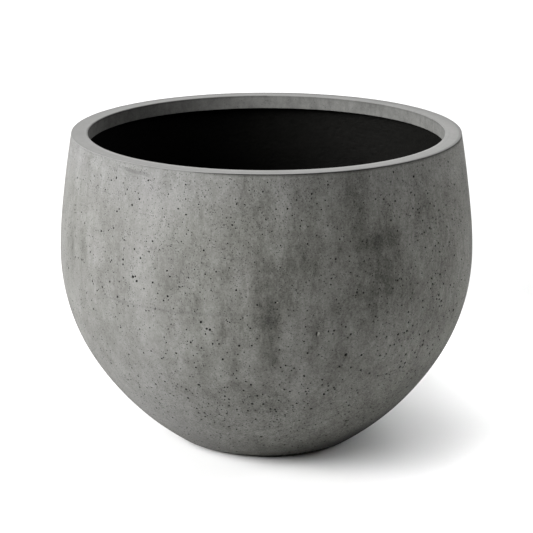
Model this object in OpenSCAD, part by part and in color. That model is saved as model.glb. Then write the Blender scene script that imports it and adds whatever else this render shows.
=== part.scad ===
// Concrete bowl planter: a wide round-bellied floor pot with a flat smooth rim,
// a black waterproofed inside, a plugged drain hole and four thin foot pads.
// Z is up, the origin is on the floor under the centre of the bowl. Millimetres.
//
// The wall is a stack of layers round one axis. Every layer follows the same
// chain of five tangent arcs (neck, shoulder, belly, lower belly, base fillet),
// moved inwards by the layer's depth, so neighbouring layers share one surface.

/* [Bowl] */
// Largest outside diameter, at the belly
bowl_d = 600; // [580:5:660]
// Height of the widest point above the floor
belly_h = 281.5; // [270:0.5:292]
// Height of the rim's top face above the widest point
rim_above_belly = 173; // [150:1:185]
// Radius of the arc that makes the belly
belly_arc = 288; // [284:1:292]
// Radius of the arc from the belly down to the base
lower_arc = 395; // [385:1:405]
// Angle below level at which the belly arc meets the lower arc
lower_start = 31.9; // [30:0.1:34]
// Radius of the shoulder arc above the belly
shoulder_arc = 600; // [560:5:640]
// Angle above level at which the belly arc meets the shoulder arc
shoulder_start = 0.5; // [0.2:0.1:1.5]
// Radius of the nearly straight neck arc under the rim
neck_arc = 1980; // [1800:10:2200]
// Angle above level at which the shoulder arc meets the neck arc
neck_start = 6; // [5:0.1:7]
// Radius that rounds the bowl's face into its flat base
base_fillet = 16; // [14:0.5:18]

/* [Wall] */
// Thickness of the fine outer face of the concrete
face_t = 3; // [2.5:0.1:3.5]
// Thickness of the glass mesh bedded behind the face
mesh_t = 1; // [0.8:0.1:1.2]
// Thickness of the fibre concrete behind the mesh
shell_t = 8.5; // [7:0.5:10]
// Thickness of the whole concrete base
base_t = 16; // [15:0.5:20]
// Radius of the hollow's corner between wall and base
hollow_fillet = 24; // [20:1:28]
// Thickness of the black waterproof coat
coat_t = 1.2; // [0.8:0.1:1.5]

/* [Rim] */
// Width of the rim's flat top
rim_w = 24.2; // [20:0.1:28]
// Depth of the rim's inner band, seen inside the mouth
lip_depth = 20; // [14:1:26]
// Thickness of the cap over the wall's top edge
cap_t = 4; // [3.5:0.1:5]
// Height of the thin shadow joint between the cap's nose and the face
joint_h = 1.2; // [0.8:0.1:1.6]
// Depth of that shadow joint
joint_deep = 2.4; // [1.5:0.1:2.4]
// Thickness of the cap's nose at its outer edge
nose_t = 0.4; // [0.3:0.1:0.6]
// Radius of the rounded edge at the mouth
mouth_edge_r = 0.8; // [0.5:0.1:1.5]
// Width of the key that locks the rim to the wall
key_w = 3.6; // [3:0.1:4]
// Depth of that key below the cap
key_h = 6; // [4:0.5:8]

/* [Drain] */
// Inside diameter of the drain sleeve
drain_d = 25; // [20:1:30]
// Wall thickness of the drain sleeve
sleeve_t = 3; // [2.5:0.5:4]
// Width of the sleeve's collar beyond its wall
collar_w = 6.5; // [5:0.5:8]
// Thickness of the sleeve's collar
collar_t = 1.5; // [1:0.1:2]
// Play between plug and sleeve, on the radius
plug_play = 0.05; // [0.02:0.01:0.09]
// Diameter of the plug's sealing flange
flange_d = 36; // [33:1:38]
// Thickness of the plug's sealing flange
flange_t = 3; // [2:0.5:4]
// Diameter of the plug's pull knob
knob_d = 17; // [14:1:20]
// Height of the knob's top above the flange
knob_h = 13; // [10:1:16]

/* [Feet] */
// Number of foot pads
pads = 4; // [3:1:6]
// Diameter of a foot pad
pad_d = 30; // [24:1:36]
// Distance of the pads from the bowl's axis
pad_ring_r = 92; // [60:1:98]
// Height of the pads below the concrete base
pad_proud = 2.5; // [1.5:0.5:3]
// Depth of each pad's recess in the base
pad_recess = 2; // [1:0.5:2]

/* [Hidden] */
$fn = 180;
tiny = 0.01;

rim_z = belly_h + rim_above_belly;
z0 = pad_proud;                      // underside of the concrete
r_belly = bowl_d / 2;

// arc radii, from the neck down
R0 = neck_arc;
R1 = shoulder_arc;
R2 = belly_arc;
R3 = lower_arc;

function polar(r, a) = [r * cos(a), r * sin(a)];
// heights and radii where two areas meet are kept to a thousandth
function snap(x) = round(x * 1000) / 1000;
function whole(c) = [round(c[0]), round(c[1])];

// arc centres: each lies on the line through its neighbour's centre and the
// point where the two arcs meet, so the chain is smooth
C2 = [r_belly - R2, belly_h];
C1 = C2 + polar(R2 - R1, shoulder_start);
C0 = C1 + polar(R1 - R0, neck_start);
C3 = C2 + polar(R2 - R3, -lower_start);

// height at which two arcs meet, on the surface t inside the outer face
function z_neck(t) = snap(C1[1] + (R1 - t) * sin(neck_start));
function z_shoulder(t) = snap(C2[1] + (R2 - t) * sin(shoulder_start));
function z_lower(t) = snap(C2[1] - (R2 - t) * sin(lower_start));
// the base fillet f rolls between the lower arc and the level floor at zf
function fillet_a(t, zf, f) = asin((zf + f - C3[1]) / (R3 - t - f));
function fillet_c(t, zf, f) = C3 + polar(R3 - t - f, fillet_a(t, zf, f));
function z_fillet(t, zf, f) =
    snap(10 * (C3[1] + (R3 - t) * sin(fillet_a(t, zf, f)))) / 10;
// radius of the face t inside the outer face, at a height in the neck
function neck_r(t, z) = C0[0] + sqrt(pow(R0 - t, 2) - pow(z - C0[1], 2));

mesh_d = face_t;                     // depth of each layer's outer face
shell_d = face_t + mesh_t;
coat_d = face_t + mesh_t + shell_t;
hollow_d = coat_d + coat_t;

shell_floor = z0 + base_t;
coat_floor = shell_floor + coat_t;
lip_z = rim_z - lip_depth;
cap_z = rim_z - cap_t;
face_top = rim_z - nose_t - joint_h;
nose_r = neck_r(0, rim_z);
mouth_r = round(10 * (nose_r - rim_w)) / 10;
sleeve_r = drain_d / 2 + sleeve_t;
collar_r = sleeve_r + collar_w;

// a rectangle from corner to corner
module block(x_lo, z_lo, x_hi, z_hi)
    polygon([[x_lo, z_lo], [x_hi, z_lo], [x_hi, z_hi], [x_lo, z_hi]]);

// a disc about c: whole millimetres first, then thousandths, then the rest;
// the long neck arc is only a few degrees of its circle, so it gets more steps
module disc(c, r) {
    a = whole(c);
    b = [snap(c[0] - a[0]), snap(c[1] - a[1])];
    translate(a) translate(b) translate(c - a - b)
        circle(r = r, $fn = r > 1000 ? 720 : 180);
}

// one arc's share of the solid outline: from z_lo to z_hi, from the axis out
module band(c, r, z_lo, z_hi) {
    intersection() {
        disc(c, r);
        block(0, z_lo, r_belly + 20, z_hi);
    }
}

// the whole area inside the face that lies t inside the outer one, up to z_top,
// with its floor at zf and a corner radius f
module inside(t, zf, f, z_top) {
    fc = fillet_c(t, zf, f);
    flat_r = snap(fc[0]);
    band(C0, R0 - t, z_neck(t), z_top);
    band(C1, R1 - t, z_shoulder(t), z_neck(t));
    band(C2, R2 - t, z_lower(t), z_shoulder(t));
    band(C3, R3 - t, z_fillet(t, zf, f), z_lower(t));
    intersection() {
        disc(fc, f);
        block(flat_r, zf - 1, flat_r + f + 1, z_fillet(t, zf, f));
    }
    block(0, zf, flat_r, z_fillet(t, zf, f));
}

module outer_area(z_top) inside(0, z0, base_fillet, z_top);
module mesh_area(z_top)
    inside(mesh_d, z0 + face_t, base_fillet - face_t, z_top);
module shell_area(z_top)
    inside(shell_d, z0 + face_t + mesh_t, base_fillet - face_t - mesh_t, z_top);
module coat_area(z_top) inside(coat_d, shell_floor, hollow_fillet, z_top);
module hollow_area(z_top)
    inside(hollow_d, coat_floor, hollow_fillet - coat_t, z_top);

module drain_hole(r) translate([-tiny, -1]) square([r + tiny, 60]);

module at_pads() for (i = [0 : pads - 1])
    rotate(360 / pads * (i + 0.5)) translate([pad_ring_r, 0, 0]) children();

module pad_blank(d) cylinder(d = d, h = pad_proud + pad_recess);

// the key stands on the underside of the cap, in the middle of the shell wall
key_r = snap((neck_r(shell_d, cap_z) + neck_r(coat_d, cap_z)) / 2);
module key_area()
    block(key_r - key_w / 2, cap_z - key_h, key_r + key_w / 2, cap_z + tiny);

// smooth cap and inner band, cast as one ring
module rim_ring() color([0.62, 0.63, 0.61]) rotate_extrude() {
    difference() {
        union() {
            // inner band, down to the lip
            intersection() {
                coat_area(rim_z);
                block(0, lip_z, r_belly, rim_z + 1);
            }
            // cap over the mesh and the shell
            intersection() {
                mesh_area(rim_z);
                block(0, cap_z, r_belly, rim_z + 1);
            }
            // nose over the face, undercut to leave the shadow joint
            polygon([
                [neck_r(mesh_d, rim_z) - 2, rim_z],
                [neck_r(mesh_d, rim_z) - 2, face_top],
                [nose_r - joint_deep, face_top],
                [neck_r(0, rim_z - nose_t), rim_z - nose_t],
                [nose_r, rim_z]]);
            key_area();
        }
        // the mouth, with a rounded upper edge
        block(-1, lip_z - 1, mouth_r, rim_z + 1);
        difference() {
            block(mouth_r - 1, rim_z - mouth_edge_r,
                  mouth_r + mouth_edge_r, rim_z + 1);
            translate([mouth_r + mouth_edge_r, rim_z - mouth_edge_r])
                circle(r = mouth_edge_r);
        }
    }
}

// fine-grained outer face of the concrete
module face_coat() color([0.47, 0.48, 0.46]) difference() {
    rotate_extrude() difference() {
        outer_area(face_top);
        mesh_area(face_top);
        drain_hole(sleeve_r);
    }
    at_pads() pad_blank(pad_d);
}

// glass mesh bedded in cement, as one layer
module fibre_mesh() color([0.78, 0.79, 0.74]) rotate_extrude() difference() {
    mesh_area(cap_z);
    shell_area(cap_z);
    drain_hole(sleeve_r);
}

// structural wall and base of fibre concrete
module backing_shell() color([0.40, 0.41, 0.40]) rotate_extrude() difference() {
    shell_area(cap_z);
    coat_area(cap_z);
    key_area();
    drain_hole(sleeve_r);
    // seat for the sleeve's collar
    translate([-tiny, shell_floor - collar_t])
        square([collar_r + tiny, collar_t + 1]);
}

// black coat on the inside, from the lip down to the drain
module waterproof_coat() color([0.03, 0.03, 0.03]) rotate_extrude() difference() {
    coat_area(lip_z);
    hollow_area(lip_z);
    drain_hole(flange_d / 2 + 1);
}

// plastic sleeve cast into the base
module drain_sleeve() color([0.12, 0.12, 0.12]) rotate_extrude() difference() {
    union() {
        translate([0, z0]) square([sleeve_r, base_t]);
        translate([0, shell_floor - collar_t]) square([collar_r, collar_t]);
    }
    drain_hole(drain_d / 2);
}

// rubber plug, pushed into the sleeve from inside the bowl
plug_r = drain_d / 2 - plug_play;
plug_top = shell_floor + 0.1;        // underside of the flange
rib = 2.2;                           // height of one sealing rib
module drain_plug() color([0.09, 0.09, 0.09]) rotate_extrude() {
    // core of the shank, thinner than the ribs, with a lead-in at its tip
    polygon([[0, z0 + 1], [plug_r - 3, z0 + 1], [plug_r - 0.9, z0 + 3.5],
             [plug_r - 0.9, plug_top + tiny], [0, plug_top + tiny]]);
    // ribs that seal against the sleeve
    for (z = [z0 + 5, z0 + 9, z0 + 13]) translate([0, z]) square([plug_r, rib]);
    // sealing flange with a rounded rim
    translate([0, plug_top]) square([flange_d / 2 - flange_t / 2, flange_t]);
    translate([flange_d / 2 - flange_t / 2, plug_top + flange_t / 2])
        circle(d = flange_t);
    // neck and pull knob
    translate([0, plug_top + flange_t - tiny])
        square([knob_d / 4, knob_h - 4]);
    translate([0, plug_top + flange_t + knob_h - 5])
        square([knob_d / 2 - 2.5, 5]);
    translate([knob_d / 2 - 2.5, plug_top + flange_t + knob_h - 2.5])
        circle(r = 2.5);
}

// rubber pads, glued into shallow recesses in the base
module foot_pads() color([0.07, 0.07, 0.07]) at_pads() rotate_extrude() {
    translate([0, 0.6]) square([pad_d / 2, pad_proud + pad_recess - 0.6]);
    square([pad_d / 2 - 0.6, 0.7]);
    intersection() {
        translate([pad_d / 2 - 0.6, 0.6]) circle(r = 0.6);
        translate([pad_d / 2 - 0.6, 0]) square([0.6, 0.6]);
    }
}

rim_ring();
face_coat();
fibre_mesh();
backing_shell();
waterproof_coat();
drain_sleeve();
drain_plug();
foot_pads();
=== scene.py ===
"""Concrete bowl planter: the finish of every surface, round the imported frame."""
import math

import bpy
import numpy as np
from mathutils import Matrix, Vector
from mathutils.geometry import delaunay_2d_cdt
from mathutils.kdtree import KDTree


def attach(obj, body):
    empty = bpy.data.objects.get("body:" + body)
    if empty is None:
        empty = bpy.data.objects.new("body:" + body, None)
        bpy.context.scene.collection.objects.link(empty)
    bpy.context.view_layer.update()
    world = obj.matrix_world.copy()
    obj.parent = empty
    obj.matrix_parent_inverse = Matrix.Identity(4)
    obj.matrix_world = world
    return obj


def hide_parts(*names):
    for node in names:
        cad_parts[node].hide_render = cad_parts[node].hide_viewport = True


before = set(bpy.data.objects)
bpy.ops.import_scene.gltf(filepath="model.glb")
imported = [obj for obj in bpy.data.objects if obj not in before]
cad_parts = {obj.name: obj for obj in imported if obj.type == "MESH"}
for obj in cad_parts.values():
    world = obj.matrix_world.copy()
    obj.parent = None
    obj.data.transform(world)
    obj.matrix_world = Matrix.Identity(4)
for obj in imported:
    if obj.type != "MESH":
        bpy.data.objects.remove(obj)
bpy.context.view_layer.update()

TAU = math.tau
MM = 0.001

# ------------------------------------------------------------------ camera
cam_data = bpy.data.cameras.new("camera")
cam_data.lens = 174.726
cam_data.sensor_width = 36.0
cam_data.clip_end = 60.0
camera = bpy.data.objects.new("camera", cam_data)
camera.location = (0.0, -3.660, 1.2330)
camera.rotation_euler = (math.radians(74.9793), 0.0, 0.0)
bpy.context.scene.collection.objects.link(camera)
bpy.context.scene.camera = camera


# ------------------------------------------------------------------ noise
class Lattice:
    """Smooth gradient noise, the same on every run."""

    def __init__(self, seed):
        rs = np.random.RandomState(seed)
        p = rs.permutation(256)
        self.p = np.concatenate([p, p, p])
        g = rs.normal(size=(256, 3))
        self.g = g / np.linalg.norm(g, axis=1)[:, None]

    def __call__(self, q):
        i = np.floor(q).astype(np.int64)
        f = q - i
        i &= 255
        u = f * f * f * (f * (f * 6 - 15) + 10)
        total = np.zeros(len(q))
        for dx in (0, 1):
            wx = u[:, 0] if dx else 1 - u[:, 0]
            hx = self.p[i[:, 0] + dx]
            for dy in (0, 1):
                wy = u[:, 1] if dy else 1 - u[:, 1]
                hy = self.p[hx + i[:, 1] + dy]
                for dz in (0, 1):
                    wz = u[:, 2] if dz else 1 - u[:, 2]
                    g = self.g[self.p[hy + i[:, 2] + dz]]
                    d = f - (dx, dy, dz)
                    total += wx * wy * wz * (g * d).sum(1)
        return 1.55 * total


LATTICES = {}


def noise(points, size, octaves=1, seed=1, gain=0.5):
    """Noise of about -1 to 1 whose largest features are size apart (mm)."""
    if seed not in LATTICES:
        LATTICES[seed] = Lattice(seed)
    total, weight, amp = 0.0, 0.0, 1.0
    for k in range(octaves):
        q = np.asarray(points) * (2.0 ** k / size) + 13.7 * (k + 1) + 0.37 * seed
        total = total + amp * LATTICES[seed](q)
        weight += amp
        amp *= gain
    return total / weight


def ramp(x, lo, hi):
    t = np.clip((x - lo) / (hi - lo), 0.0, 1.0)
    return t * t * (3 - 2 * t)


# ------------------------------------------------------------------ the wall's curve
RADII = (1980.0, 600.0, 288.0, 395.0)     # neck, shoulder, belly, lower belly
TURNS = (6.0, 0.5, -31.9)                 # degrees above level where they meet
RIM_Z, LIP_Z, CAP_Z, FACE_Z = 454.5, 434.5, 450.5, 452.9
MOUTH_R, NOSE_R, BASE_Z = 257.3, 281.55, 2.5


def polar(r, a):
    return np.array([r * math.cos(math.radians(a)), r * math.sin(math.radians(a))])


C_BELLY = np.array([300.0 - RADII[2], 281.5])
C_SHOULDER = C_BELLY + polar(RADII[2] - RADII[1], TURNS[1])
C_NECK = C_SHOULDER + polar(RADII[1] - RADII[0], TURNS[0])
C_LOWER = C_BELLY + polar(RADII[2] - RADII[3], TURNS[2])


class Wall:
    """The curve that lies t inside the outer face, by arc length from z_top down to a level floor."""

    def __init__(self, t, z_top, z_floor, fillet):
        rad = [r - t for r in RADII]
        top = math.degrees(math.asin((z_top - C_NECK[1]) / rad[0]))
        low = math.degrees(math.asin((z_floor + fillet - C_LOWER[1]) / (rad[3] - fillet)))
        c_fillet = C_LOWER + polar(rad[3] - fillet, low)
        self.spans = [
            (C_NECK, rad[0], top, TURNS[0]),
            (C_SHOULDER, rad[1], TURNS[0], TURNS[1]),
            (C_BELLY, rad[2], TURNS[1], TURNS[2]),
            (C_LOWER, rad[3], TURNS[2], low),
            (c_fillet, fillet, low, -90.0),
        ]
        lengths = [r * math.radians(a - b) for _, r, a, b in self.spans]
        self.ends = np.cumsum(lengths)
        self.length = float(self.ends[-1])
        s = np.linspace(0, self.length, 4001)
        self._z, self._s = self.at(s)[1][::-1], s[::-1]

    def at(self, s):
        """r, z, and the outward normal's r and z, at arc lengths s."""
        s = np.asarray(s, float)
        r, z, nr, nz = (np.zeros_like(s) for _ in range(4))
        which = np.minimum(np.searchsorted(self.ends, s, side="left"), 4)
        for k, (c, rad, a, b) in enumerate(self.spans):
            m = which == k
            start = self.ends[k - 1] if k else 0.0
            ang = math.radians(a) - (s[m] - start) / rad
            nr[m], nz[m] = np.cos(ang), np.sin(ang)
            r[m], z[m] = c[0] + rad * nr[m], c[1] + rad * nz[m]
        return r, z, nr, nz

    def s_at(self, z):
        return np.interp(z, self._z, self._s)


def wall_r(t, z):
    """Radius of the neck's face t inside the outer one, at height z."""
    return C_NECK[0] + math.sqrt((RADII[0] - t) ** 2 - (z - C_NECK[1]) ** 2)


# ------------------------------------------------------------------ mesh building
class Build:
    """Collects points and triangles in groups, and makes one mesh of them."""

    def __init__(self):
        self.points, self.tris, self.groups, self.uvs = [], [], [], []
        self.count = 0

    def add(self, pts):
        pts = np.asarray(pts, float).reshape(-1, 3)
        self.points.append(pts)
        first = self.count
        self.count += len(pts)
        return np.arange(first, self.count)

    def faces(self, tris, group, uv, toward):
        """toward(points) gives a direction that each triangle's front should face."""
        tris = np.asarray(tris, np.int64).reshape(-1, 3)
        allp = np.concatenate(self.points)
        a, b, c = (allp[tris[:, k]] for k in range(3))
        n = np.cross(b - a, c - a)
        want = toward((a + b + c) / 3)
        flip = (n * want).sum(1) < 0
        tris = tris.copy()
        tris[flip] = tris[flip][:, [0, 2, 1]]
        uv = np.asarray(uv, float).reshape(-1, 3, 2).copy()
        uv[flip] = uv[flip][:, [0, 2, 1]]
        self.tris.append(tris)
        self.groups.append(np.full(len(tris), group))
        self.uvs.append(uv)

    def mesh(self, name):
        pts = np.concatenate(self.points) * MM
        tris = np.concatenate(self.tris)
        me = bpy.data.meshes.new(name)
        me.vertices.add(len(pts))
        me.vertices.foreach_set("co", pts.astype(np.float32).ravel())
        me.loops.add(len(tris) * 3)
        me.loops.foreach_set("vertex_index", tris.astype(np.int32).ravel())
        me.polygons.add(len(tris))
        me.polygons.foreach_set("loop_start", np.arange(0, len(tris) * 3, 3, dtype=np.int32))
        me.polygons.foreach_set("use_smooth", np.ones(len(tris), bool))
        me.update(calc_edges=True)
        layer = me.uv_layers.new(name="OFBake")
        layer.uv.foreach_set("vector", np.concatenate(self.uvs).astype(np.float32).ravel())
        me.validate()
        return me


def new_object(name, me):
    ob = bpy.data.objects.new(name, me)
    bpy.context.scene.collection.objects.link(ob)
    return ob


def zip_rings(a, b):
    """Triangles between two closed rings of points that start at the same azimuth."""
    out, i, j, na, nb = [], 0, 0, len(a), len(b)
    while i < na or j < nb:
        if j >= nb or (i < na and (i + 1) / na <= (j + 1) / nb):
            out.append((a[i % na], a[(i + 1) % na], b[j % nb]))
            i += 1
        else:
            out.append((a[i % na], b[(j + 1) % nb], b[j % nb]))
            j += 1
    return out


def ring(r, z, n):
    phi = -math.pi + TAU * np.arange(n) / n
    return np.stack([r * np.sin(phi), -r * np.cos(phi), np.full(n, float(z))], 1)


def point(attribute_mesh, name, values):
    attr = attribute_mesh.attributes.new(name, "FLOAT", "POINT")
    attr.data.foreach_set("value", np.asarray(values, np.float32))


# ------------------------------------------------------------------ clouds on the face
# Soft dark and light patches that the pour left: azimuth (0 faces the front,
# degrees to the right), height, half width and half height in mm, and strength.
CLOUDS = [
    (0.4, 264, 17, 19, -2.2), (0.8, 222, 9, 30, -1.4), (1.5, 296, 26, 16, -0.25),
    (-2.2, 384, 6, 36, -0.7), (4.8, 310, 13, 20, -0.5), (9.6, 340, 9, 28, -0.6),
    (15.3, 355, 11, 20, -0.6), (23, 436, 9, 14, -0.9), (26.5, 402, 8, 22, -0.8),
    (31, 357, 30, 11, -1.0), (35.6, 362, 9, 11, -0.8), (27.5, 360, 8, 10, -0.4),
    (32.5, 318, 26, 26, -0.5), (25, 346, 11, 20, -0.6), (25, 280, 18, 17, -0.9),
    (29.8, 250, 9, 14, -0.8), (17.3, 265, 22, 8, -0.5), (38.4, 285, 18, 12, -0.8),
    (45.6, 276, 18, 20, -0.9), (39.4, 255, 9, 12, -0.5), (46, 430, 5, 30, -0.9),
    (50.4, 395, 14, 13, -0.7), (48, 375, 28, 24, -0.35), (60.5, 305, 14, 32, -0.9),
    (61.4, 395, 5, 20, -0.5), (59.5, 215, 20, 20, -0.6), (65, 210, 12, 20, -0.7),
    (57.6, 138, 9, 14, -0.8), (65.7, 170, 12, 20, -0.6), (-18.7, 281, 6, 21, -1.2),
    (-17.8, 350, 8, 34, -0.7), (-9, 315, 5, 34, -0.7), (-25, 295, 12, 17, -0.8),
    (-10.5, 232, 13, 13, -0.7), (-17.3, 200, 11, 15, -0.7), (-20, 170, 12, 21, -0.8),
    (-9, 200, 5, 28, -0.6), (-8.6, 160, 7, 14, -0.5), (-59.5, 325, 7, 34, -1.0),
    (-67, 325, 11, 36, -0.8), (-51.8, 205, 13, 11, -0.9), (-44, 170, 15, 13, -0.8),
    (-40.8, 285, 5, 18, -0.5), (-49, 117, 15, 10, -0.5), (3, 146, 22, 30, -0.5),
    (-12.5, 120, 48, 13, -0.5), (-31.7, 140, 48, 15, -0.4), (2, 215, 9, 24, -0.5),
    (18.7, 170, 25, 19, -0.5), (24, 200, 32, 22, -0.35), (-44, 410, 9, 34, -0.5),
    (-52.8, 395, 11, 40, -0.3), (-3, 405, 11, 12, -0.6), (7.7, 380, 7, 16, -0.5),
    (13, 436, 13, 9, -0.5), (-5.8, 438, 13, 9, -0.6), (-15, 440, 10, 8, -0.4),
    (-28, 177, 9, 10, -0.5), (12.5, 240, 8, 12, -0.8), (16.3, 215, 13, 9, -0.4),
    (44.6, 210, 11, 9, -0.5), (51.8, 200, 9, 14, -0.5), (-1.2, 352, 7, 60, -0.6),
    (-13.5, 181, 12, 25, 1.0), (-5.8, 181, 11, 23, 1.0), (10, 186, 10, 48, 1.0),
    (8.6, 131, 12, 22, 0.9), (-5.8, 300, 9, 16, 0.6), (-13.5, 300, 9, 22, 0.3),
    (-22, 283, 6, 13, 0.7), (-22, 230, 11, 19, 0.8), (-15.4, 230, 9, 17, 0.7),
    (38.8, 390, 12, 21, 1.1), (27.8, 300, 7, 6, 0.9), (2.9, 405, 9, 14, 0.5),
    (3.8, 355, 9, 14, 0.6), (43, 336, 22, 19, 0.4), (54.7, 260, 9, 10, 0.9),
    (38.4, 180, 22, 38, 0.5), (38.4, 150, 5, 12, 0.7), (-35.5, 386, 24, 44, 0.5),
    (-38.4, 270, 20, 22, 0.3), (-59.5, 405, 12, 30, 0.4), (-30.7, 225, 28, 22, 0.3),
    (-2, 72, 20, 10, 0.4), (16.3, 396, 12, 23, 0.4), (11.5, 300, 8, 30, -0.4),
    (20, 300, 7, 20, 0.4), (-31, 430, 34, 26, 1.2), (-38, 185, 34, 46, 0.9),
    (-38, 98, 70, 36, 1.1), (-18, 108, 30, 16, 0.6), (-50, 140, 22, 22, 0.5),
    (-61, 322, 26, 44, -0.5), (20, 205, 24, 34, -0.5), (-11, 320, 16, 40, -0.5),
    (-50, 262, 20, 20, -0.3), (-46, 443, 34, 6, -0.8), (-39, 440, 9, 7, -0.7),
    (-56, 446, 14, 6, 0.7), (-34, 445, 14, 6, 0.6), (-62, 442, 9, 9, -0.7),
    (-67, 440, 8, 14, 0.6), (-37, 428, 20, 9, 0.5), (-52, 424, 10, 14, 0.5),
    (0, 96, 24, 18, 0.7), (52, 448, 12, 14, -0.6), (11, 446, 12, 10, -0.4),
    (-30, 382, 12, 30, 0.5), (-11, 448, 14, 8, 0.6), (30, 446, 10, 10, 0.5),
    (-10, 268, 7, 22, -0.6), (58, 110, 18, 20, -0.6), (70, 120, 12, 30, -0.6),
    (-25, 420, 48, 36, 0.9), (-45, 110, 60, 40, 0.5), (0, 146, 18, 80, -0.5), (30, 258, 16, 20, -0.6),
    (40, 150, 20, 30, -0.5), (50, 432, 16, 24, -0.5), (-60, 285, 16, 26, -0.5), (-78, 220, 20, 50, -0.5),
    (75, 380, 26, 40, -0.5), (-60.5, 444, 8, 12, -1.2), (-55.5, 445, 9, 12, 0.8), (-68, 440, 9, 16, 0.8),
    (80, 262, 12, 26, 0.5), (-30, 142, 16, 14, -0.6), (40, 260, 14, 16, -0.5), (60, 275, 14, 24, -0.4),
    (70, 145, 16, 50, -0.7), (53, 44, 26, 14, -0.6), (30, 382, 12, 12, -0.4), (20, 342, 12, 12, -0.4),
    (-10, 325, 10, 30, -0.3), (60, 180, 14, 16, -0.4),
    # round the sides and the back
    (95, 300, 30, 50, -0.6), (104, 390, 14, 44, -0.5), (120, 230, 34, 24, -0.5),
    (133, 340, 16, 60, -0.6), (150, 270, 40, 20, -0.55), (158, 160, 20, 60, -0.4),
    (172, 370, 22, 30, -0.7), (-170, 250, 14, 70, -0.5), (-150, 330, 40, 26, -0.5),
    (-140, 200, 18, 50, -0.5), (-122, 390, 16, 40, -0.5), (-108, 270, 26, 40, -0.5),
    (-92, 160, 30, 30, -0.4), (84, 150, 16, 60, 0.5), (112, 330, 16, 40, 0.5),
    (142, 120, 30, 50, 0.4), (165, 300, 14, 60, 0.5), (-160, 150, 18, 50, 0.5),
    (-132, 290, 14, 44, 0.5), (-114, 200, 16, 60, 0.4), (-98, 360, 20, 50, 0.4),
    (-82, 240, 14, 60, 0.3), (77, 380, 14, 50, -0.4), (74, 240, 20, 40, -0.3),
]


def cloud_tone(pts):
    """-1 to 1 at each point: the patches above, with ragged edges."""
    warp = np.stack([noise(pts, 30, 5, 31, 0.68), noise(pts, 30, 5, 32, 0.68)], 1)
    phi = np.degrees(np.arctan2(pts[:, 0], -pts[:, 1]))
    r = np.hypot(pts[:, 0], pts[:, 1])
    total = np.zeros(len(pts))
    for az, z, w, h, k in CLOUDS:
        dx = np.radians((phi - az + 180) % 360 - 180) * r / w
        dz = (pts[:, 2] - z) / h
        sway = min(13.0, 0.9 * w, 0.9 * h)
        dx = dx + warp[:, 0] * sway / w
        dz = dz + warp[:, 1] * sway / h
        total += k * np.exp(-0.72 * (dx * dx + dz * dz) ** 0.85)
    return np.clip(total, -2.7, 1.3)


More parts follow.
